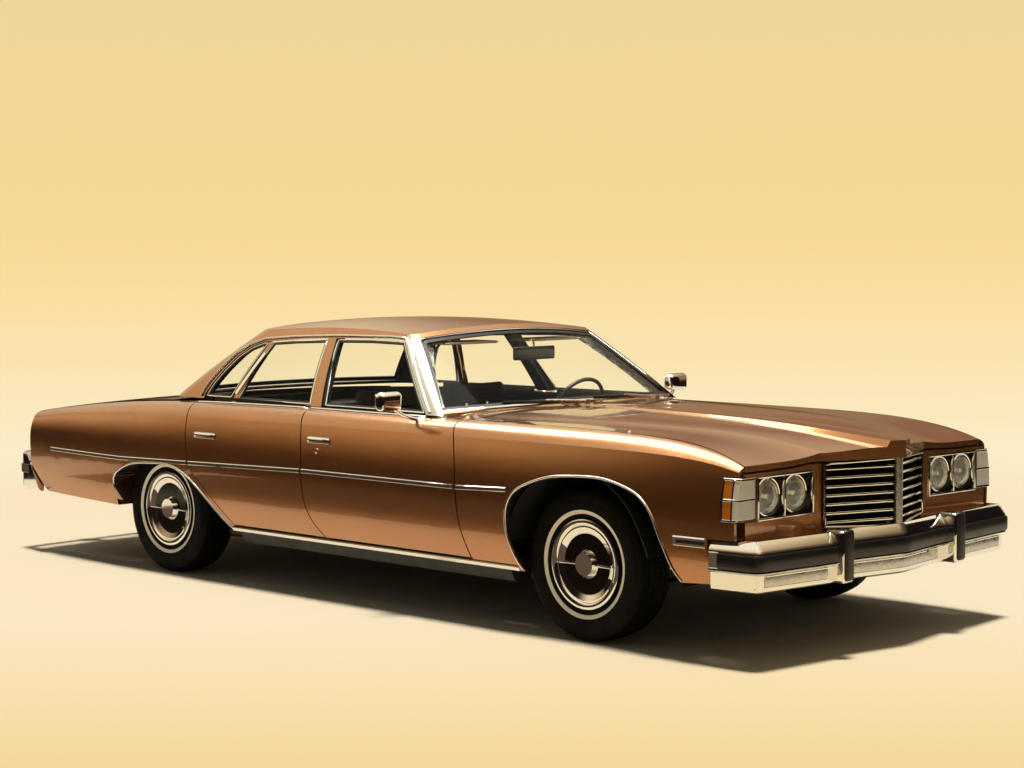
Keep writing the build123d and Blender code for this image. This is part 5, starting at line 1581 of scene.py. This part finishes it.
def blow_up(pads, caps):
    """Runs the cloth of every pad under pressure at once, with its underside held, and keeps the capped result."""
    for obj in pads:
        low = min(v.co.z for v in obj.data.vertices)
        held = obj.vertex_groups.new(name="held")
        held.add([v.index for v in obj.data.vertices if v.co.z < low * 0.7], 1.0, "REPLACE")
        cloth = obj.modifiers.new("cloth", "CLOTH")
        cloth.settings.use_pressure, cloth.settings.uniform_pressure_force = True, PRESSURE
        cloth.settings.effector_weights.gravity = 0.0
        cloth.settings.vertex_group_mass = "held"
        cloth.point_cache.frame_start, cloth.point_cache.frame_end = 1, FRAMES
    for number in range(1, FRAMES + 1):
        bpy.context.scene.frame_set(number)
    shapes = [baked(obj) for obj in pads]
    for obj, shape, cap in zip(pads, shapes, caps):
        for start, end in zip(obj.data.vertices, shape.vertices):
            move = end.co - start.co
            start.co += move if move.length < cap else move.normalized() * cap
        obj.modifiers.clear()
        obj.vertex_groups.clear()
        bpy.data.meshes.remove(shape)
    bpy.context.scene.frame_set(1)


def sew(verts, size):
    """Presses sewn channels across a pad and the seam that frames them."""
    half_x, half_y = size[0] / 2 - SEAM_INSET, size[1] / 2 - SEAM_INSET
    for v in verts:
        if v.co.z < 0:
            continue
        past = max(abs(v.co.x) - half_x, abs(v.co.y) - half_y)
        away = past
        if past < 0:
            away = min((v.co.y / CHANNEL_PITCH) % 1, -(v.co.y / CHANNEL_PITCH) % 1) * CHANNEL_PITCH
            away = min(away, -past)
        v.co.z -= CHANNEL_DEPTH * math.exp(-(away / CHANNEL_WIDTH) ** 2)


def rim_hits(tree, size, height, matrix, steps=120):
    """Points and normals round a pad's edge at a height in its own frame, placed in the car."""
    half = Vector((size[0] / 2, size[1] / 2))
    core = half - Vector((0.05, 0.05))
    corners = [(half.x, half.y), (-half.x, half.y), (-half.x, -half.y), (half.x, -half.y), (half.x, half.y)]
    hits = []
    for p in straight_line(corners, steps + 1)[:-1]:
        inside = Vector((max(-core.x, min(core.x, p.x)), max(-core.y, min(core.y, p.y)), height))
        out = (Vector((p.x, p.y, height)) - inside).normalized()
        hit = probe(tree, inside + out * 0.2, -out)
        if hit:
            hits.append((matrix @ hit[0], matrix.to_3x3() @ hit[1]))
    return hits + hits[:1]


class SALOON_OT_seats(bpy.types.Operator):
    """Blows up the bench seats and head restraints as stuffed cloth, then sews their channels and piping"""

    bl_idname = "saloon.seats"
    bl_label = "Seats"

    def execute(self, context):
        pads = {name: rough_pad(name, pad[1], pad[3]) for name, pad in PADS.items()}
        blow_up(list(pads.values()), [PADS[name][4] for name in pads])
        shapes = {name: self.finish(name, obj) for name, obj in pads.items()}
        for name, (tree, matrix) in shapes.items():
            size = PADS[name][1]
            for label, height in (("high", 0.30), ("low", -0.30)):
                lay(f"{name}_piping_{label}", "cabin_vinyl", rim_hits(tree, size, size[2] * height, matrix),
                    circle(PIPING_R, 8), closed_path=True)
        rods("headrest_posts", "bright_chrome", [
            ((-1.948, y, 0.870), (-1.962, y, 0.960))
            for _, sign in SIDES for y in (sign * 0.330 + 0.080, sign * 0.330 - 0.080)], 0.007)
        for label, stations, top, width in (("front", (-1.345, -1.835), 0.432, 0.640),
                                            ("rear", (-2.345, -2.700), 0.412, 0.590)):
            blocks(f"{label}_seat_base", "cabin_vinyl", [
                (stations, (sign * 0.165, sign * width), (0.276, top)) for _, sign in SIDES], 0.012)
        return {"FINISHED"}

    def finish(self, name, obj):
        """Smooths, sews and places one pad, and returns its search tree and its matrix."""
        centre, size, tilt, _, _, node_name = PADS[name]
        smooth = obj.modifiers.new("smooth", "SUBSURF")
        smooth.levels = smooth.render_levels = 1
        mesh = baked(obj)
        obj.modifiers.clear()
        obj.data = mesh
        if size[1] > 0.5:
            sew(mesh.vertices, size)
        bm = bmesh.new()
        bm.from_mesh(mesh)
        tree = BVHTree.FromBMesh(bm)
        bm.free()
        matrix = Matrix.Translation((at(centre[0]), *centre[1:])) @ Matrix.Rotation(math.radians(tilt), 4, "Y")
        mesh.transform(matrix)
        mesh.materials.clear()
        mesh.materials.append(MATERIALS["seat_fabric"])
        for polygon in mesh.polygons:
            polygon.use_smooth = True
        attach(obj, "body")
        if node_name:
            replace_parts(obj, node_name)
        return tree, matrix


# ---------------------------------------------------------------- engine bay, underside and trunk
def coil(name, centre, radius, low, high, turns, wire):
    """Upright coil spring about a point given as (station, y)."""
    steps = turns * 14
    angles = spread(0.0, math.tau * turns, steps)
    route = [(centre[0] + radius * math.cos(a), centre[1] + radius * math.sin(a), z)
             for a, z in zip(angles, spread(low, high, steps))]
    pipe(name, "frame_black", route, wire, 8)


# radius and route of each hose
HOSES = (
    (0.022, ((0.616, -0.240, 0.790), (0.520, -0.240, 0.800), (0.400, -0.120, 0.800), (0.320, -0.080, 0.780))),
    (0.024, ((0.616, 0.260, 0.470), (0.500, 0.260, 0.460), (0.400, 0.180, 0.520), (0.330, 0.120, 0.520))),
    (0.010, ((-0.380, 0.180, 0.740), (-0.460, 0.200, 0.740), (-0.560, 0.240, 0.720), (-0.660, 0.240, 0.700))),
)
FAN_BLADES, BLADE_PITCH = 5, math.radians(28)


class SALOON_OT_engine_bay(bpy.types.Operator):
    """Air cleaner, rocker covers, radiator, fan, battery, hoses and brake booster"""

    bl_idname = "saloon.engine_bay"
    bl_label = "Engine bay"

    def execute(self, context):
        up = (0, 0, 1)
        turned("air_cleaner", "engine_iron", [
            (0.0, 0.872), (0.192, 0.872), (0.196, 0.880), (0.190, 0.889), (0.150, 0.892), (0.040, 0.894),
            (0.0, 0.894)], (at(-0.020), 0, 0), up, 72)
        turned("air_cleaner_nut", "bright_chrome", [(0.018, 0.890), (0.014, 0.899), (0.006, 0.901), (0.0, 0.901)],
               (at(-0.020), 0, 0), up, 24, closed=False)
        blocks("air_intake", "engine_iron", [((0.140, 0.430), (-0.190, -0.110), (0.818, 0.868))], 0.014, 3)
        for side, sign in SIDES:
            blocks(f"rocker_cover_{side}", "engine_iron", [
                ((0.220, -0.340), (sign * 0.190, sign * 0.300), (0.690, 0.752))], 0.018, 3)
            pipe(f"exhaust_manifold_{side}", "exhaust_steel", [
                (0.200, sign * 0.300, 0.560), (0.0, sign * 0.312, 0.555), (-0.220, sign * 0.312, 0.545),
                (-0.330, sign * 0.330, 0.440), (-0.400, sign * 0.336, 0.300)], 0.026, 12)
        blocks("radiator", "frame_black", [
            ((0.620, 0.668), (-0.360, 0.360), (0.440, 0.800)),
            ((0.612, 0.676), (-0.370, 0.370), (0.790, 0.824))], 0.006)
        blocks("radiator_fins", "satin_metal", [
            ((0.616, 0.672), (-0.350 + 0.020 * i, -0.3485 + 0.020 * i), (0.450, 0.786)) for i in range(36)])
        shroud = [((sign * 0.270, sign * 0.290), (0.460, 0.780)) for _, sign in SIDES]
        shroud += [((-0.290, 0.290), (z, z + 0.018)) for z in (0.452, 0.772)]
        blocks("fan_shroud", "black_rubber", [((0.520, 0.618), *rest) for rest in shroud], 0.004)
        hub = Vector((at(0.455), 0, 0.610))
        turned("fan_hub", "satin_metal", [
            (0.0, -0.120), (0.050, -0.120), (0.050, -0.030), (0.032, -0.020), (0.032, 0.012), (0.0, 0.014)], hub)
        bm = bmesh.new()
        for i in range(FAN_BLADES):
            made = add_block(bm, (-0.002, -0.036, 0.040), (0.002, 0.036, 0.225))
            turn = Matrix.Rotation(math.tau * i / FAN_BLADES, 4, "X") @ Matrix.Rotation(BLADE_PITCH, 4, "Z")
            bmesh.ops.transform(bm, matrix=Matrix.Translation(hub) @ turn, verts=made)
        finish_piece(bm, "fan_blades", "satin_metal")
        blocks("battery", "black_rubber", [
            ((0.580, 0.345), (-0.700, -0.530), (0.560, 0.752)),
            ((0.576, 0.349), (-0.696, -0.534), (0.750, 0.760))], 0.006)
        rods("battery_posts", "satin_metal", [
            ((s, -0.560, 0.755), (s, -0.560, 0.776)) for s in (0.545, 0.380)], 0.009)
        blocks("battery_tray", "frame_black", [((0.600, 0.335), (-0.710, -0.500), (0.540, 0.562))], 0.004)
        blocks("washer_bottle", "lamp_plastic", [((0.560, 0.400), (0.560, 0.690), (0.560, 0.740))], 0.020, 3)
        turned("brake_booster", "frame_black", [
            (0.0, 0.0), (0.110, 0.0), (0.128, 0.030), (0.128, 0.060), (0.090, 0.100), (0.030, 0.112), (0.030, 0.210),
            (0.0, 0.212)], (at(-0.640), 0.480, 0.700))
        for number, (radius, route) in enumerate(HOSES):
            pipe(f"coolant_hose_{number}", "black_rubber", route, radius, 12)
        turned("alternator", "satin_metal", [
            (0.0, -0.070), (0.060, -0.070), (0.068, -0.050), (0.068, 0.050), (0.050, 0.064), (0.0, 0.066)],
            (at(0.330), -0.220, 0.640))
        blocks("bay_crossmember", "frame_black", [
            ((0.690, 0.640), (-0.800, 0.800), (0.796, 0.822)),
            ((0.700, 0.640), (-0.800, 0.800), (0.425, 0.452))], 0.005)
        return {"FINISHED"}


class SALOON_OT_underside(bpy.types.Operator):
    """Springs, dampers, drive shaft, gearbox, steering links, tank straps and tail pipe"""

    bl_idname = "saloon.underside"
    bl_label = "Underside"

    def execute(self, context):
        for side, sign in SIDES:
            coil(f"front_spring_{side}", (0.0, sign * 0.560), 0.055, 0.206, 0.425, 7, 0.0075)
            coil(f"rear_spring_{side}", (-3.134, sign * 0.435), 0.050, 0.392, 0.486, 3, 0.0075)
            rods(f"rear_damper_{side}", "exhaust_steel", [
                ((-3.200, sign * 0.560, 0.300), (-3.330, sign * 0.500, 0.500))], 0.022)
            pipe(f"rear_link_{side}", "frame_black", [
                (-3.120, sign * 0.530, 0.290), (-2.900, sign * 0.510, 0.240), (-2.640, sign * 0.460, 0.230)], 0.018)
            blocks(f"tank_strap_{side}", "satin_metal", [
                ((-3.540, -4.170), (sign * 0.190, sign * 0.230), (0.2345, 0.2385))], 0.001, 1)
        turned("gearbox", "exhaust_steel", [
            (0.0, 0.0), (0.190, 0.0), (0.180, -0.090), (0.110, -0.200), (0.100, -0.560), (0.060, -0.620),
            (0.045, -0.760), (0.0, -0.762)], (at(-0.420), 0, 0.400), (1, 0, 0), 40)
        rods("drive_shaft", "frame_black", [((-1.170, 0, 0.396), (-3.000, 0, 0.360))], 0.036, 20)
        pipe("anti_roll_bar", "frame_black", [
            (0.030, 0.500, 0.214), (0.250, 0.470, 0.290), (0.420, 0.440, 0.328), (0.420, 0.0, 0.328),
            (0.420, -0.440, 0.328), (0.250, -0.470, 0.290), (0.030, -0.500, 0.214)], 0.012)
        rods("steering_links", "frame_black", [
            ((-0.130, -0.440, 0.290), (-0.130, 0.440, 0.290)), ((-0.130, 0.440, 0.290), (-0.110, 0.640, 0.270)),
            ((-0.130, -0.440, 0.290), (-0.110, -0.640, 0.270))], 0.013)
        turned("tail_pipe", "bright_chrome", [
            (0.0255, 0.120), (0.0290, 0.118), (0.0290, -0.016), (0.0270, -0.018), (0.0240, -0.014), (0.0240, 0.110)],
            (at(-4.415), -0.560, 0.320), (1, 0, 0.02), 40)
        turned("muffler_ends", "exhaust_steel", [
            (0.0, 0.256), (0.030, 0.256), (0.047, 0.248), (0.049, 0.240), (0.047, 0.234), (0.047, -0.234),
            (0.049, -0.240), (0.047, -0.248), (0.030, -0.256), (0.0, -0.256)],
            (at(-1.400), -0.338, 0.156), (1, 0, 0), 40)
        return {"FINISHED"}


class SALOON_OT_trunk(bpy.types.Operator):
    """Mat, spare wheel and jack of the trunk, carpet and belt buckles of the cabin"""

    bl_idname = "saloon.trunk"
    bl_label = "Trunk"

    def execute(self, context):
        blocks("trunk_mat", "dark_trim", [((-2.990, -4.370), (-0.628, 0.628), (0.5165, 0.5195))], 0.001, 1)
        centre = Vector((at(-3.300), 0.0, 0.0))
        turned("spare_tyre", "tyre_rubber", [
            (0.190, 0.520), (0.240, 0.518), (0.300, 0.524), (0.335, 0.545), (0.342, 0.600), (0.335, 0.655),
            (0.300, 0.676), (0.240, 0.682), (0.190, 0.680), (0.190, 0.520)], centre, (0, 0, 1), 64)
        turned("spare_rim", "satin_metal", [
            (0.194, 0.672), (0.188, 0.676), (0.176, 0.664), (0.172, 0.610), (0.110, 0.590), (0.080, 0.604),
            (0.034, 0.604), (0.030, 0.570), (0.0, 0.570)], centre, (0, 0, 1), 64, closed=False)
        rods("jack", "engine_iron", [((-3.760, -0.400, 0.532), (-3.760, 0.300, 0.532))], 0.014)
        for label, rows in (("left", (0.160, 0.790)), ("right", (-0.790, -0.160))):
            blocks(f"carpet_{label}", "carpet_pile", [((-0.700, -2.640), rows, (0.2745, 0.2785))], 0.001, 1)
        blocks("carpet_tunnel", "carpet_pile", [((-0.700, -2.490), (-0.153, 0.153), (0.4205, 0.4245))], 0.001, 1)
        blocks("belt_buckles", "black_rubber", [
            ((station, station - 0.030), (sign * y, sign * (y + 0.014)), (0.480, z))
            for station, z in ((-1.850, 0.600), (-2.760, 0.560)) for y in (0.120, 0.180) for _, sign in SIDES],
            0.005, slot="cabin_vinyl")
        return {"FINISHED"}


# ---------------------------------------------------------------- steering wheel
RIM_R, GRIP_R = 0.192, 0.0105
COLUMN_TILT = math.radians(26)


class SALOON_OT_steering(bpy.types.Operator):
    """Steering wheel rim, spokes, boss and column trim"""

    bl_idname = "saloon.steering"
    bl_label = "Steering wheel"

    def execute(self, context):
        centre, body = Vector((at(-1.256), 0.380, 0.915)), "steering_wheel"
        axis = Vector((-math.cos(COLUMN_TILT), 0, math.sin(COLUMN_TILT)))
        across, up = Vector((0, 1, 0)), axis.cross(Vector((0, 1, 0)))

        def spot(way, lift, depth):
            return centre + across * way + up * lift - axis * depth

        grip = [(RIM_R + r, d) for r, d in circle(GRIP_R, 14)]
        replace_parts(turned("steering_rim", "black_rubber", grip + grip[:1], centre, axis, 96, body=body,
                           slot="cabin_vinyl"), "steering_wheel")
        bm = bmesh.new()
        for way in (1, -1):
            for lift in (0.020, -0.006):
                add_rod(bm, spot(way * 0.045, lift, 0.020), spot(way * 0.186, lift * 1.5, 0.002), 0.0065, 12)
        finish_piece(bm, "steering_spokes", "bright_chrome", body=body)
        turned("steering_boss", "cabin_vinyl", [
            (0.062, -0.040), (0.066, -0.026), (0.064, -0.012), (0.050, -0.004), (0.026, 0.000), (0.0, 0.001)],
            centre, axis, 48, body=body, closed=False)
        turned("steering_medallion", "bright_chrome", [
            (0.026, 0.000), (0.026, 0.003), (0.022, 0.0045), (0.0, 0.0045)], centre, axis, 40, body=body,
            closed=False)
        bm = bmesh.new()
        add_rod(bm, spot(0, 0, 0.040), spot(0, 0, 0.300), 0.034, 32)
        add_rod(bm, spot(0.020, 0, 0.075), spot(-0.150, 0.030, 0.075), 0.005, 12)
        finish_piece(bm, "steering_shroud", "cabin_vinyl")
        return {"FINISHED"}


STEPS = (
    SALOON_OT_frame, SALOON_OT_tyres, SALOON_OT_wheel_covers, SALOON_OT_mouldings, SALOON_OT_window_trim,
    SALOON_OT_grille, SALOON_OT_headlamps, SALOON_OT_bumpers, SALOON_OT_corner_lamps, SALOON_OT_door_hardware,
    SALOON_OT_cowl_details, SALOON_OT_tail, SALOON_OT_fillers, SALOON_OT_cabin, SALOON_OT_seats,
    SALOON_OT_steering, SALOON_OT_engine_bay, SALOON_OT_underside, SALOON_OT_trunk, SALOON_OT_stage,
)


class SALOON_PT_panel(bpy.types.Panel):
    """Sidebar list of the car's pieces"""

    bl_idname = "SALOON_PT_panel"
    bl_label = "Saloon"
    bl_space_type = "VIEW_3D"
    bl_region_type = "UI"
    bl_category = "Saloon"

    def draw(self, context):
        for step in STEPS:
            self.layout.operator(step.bl_idname)


GROUPS = {"saloon_finish": SaloonFinish, "saloon_stage": SaloonStage}


def register():
    for group in GROUPS.values():
        bpy.utils.register_class(group)
    for name, group in GROUPS.items():
        setattr(bpy.types.Scene, name, bpy.props.PointerProperty(type=group))
    for step in STEPS:
        bpy.utils.register_class(step)
    bpy.utils.register_class(SALOON_PT_panel)


def unregister():
    bpy.utils.unregister_class(SALOON_PT_panel)
    for step in reversed(STEPS):
        bpy.utils.unregister_class(step)
    for name in GROUPS:
        delattr(bpy.types.Scene, name)
    for group in reversed(GROUPS.values()):
        bpy.utils.unregister_class(group)


def main():
    register()
    for step in STEPS:
        group, name = step.bl_idname.split(".")
        getattr(getattr(bpy.ops, group), name)()


if __name__ == "__main__":
    main()
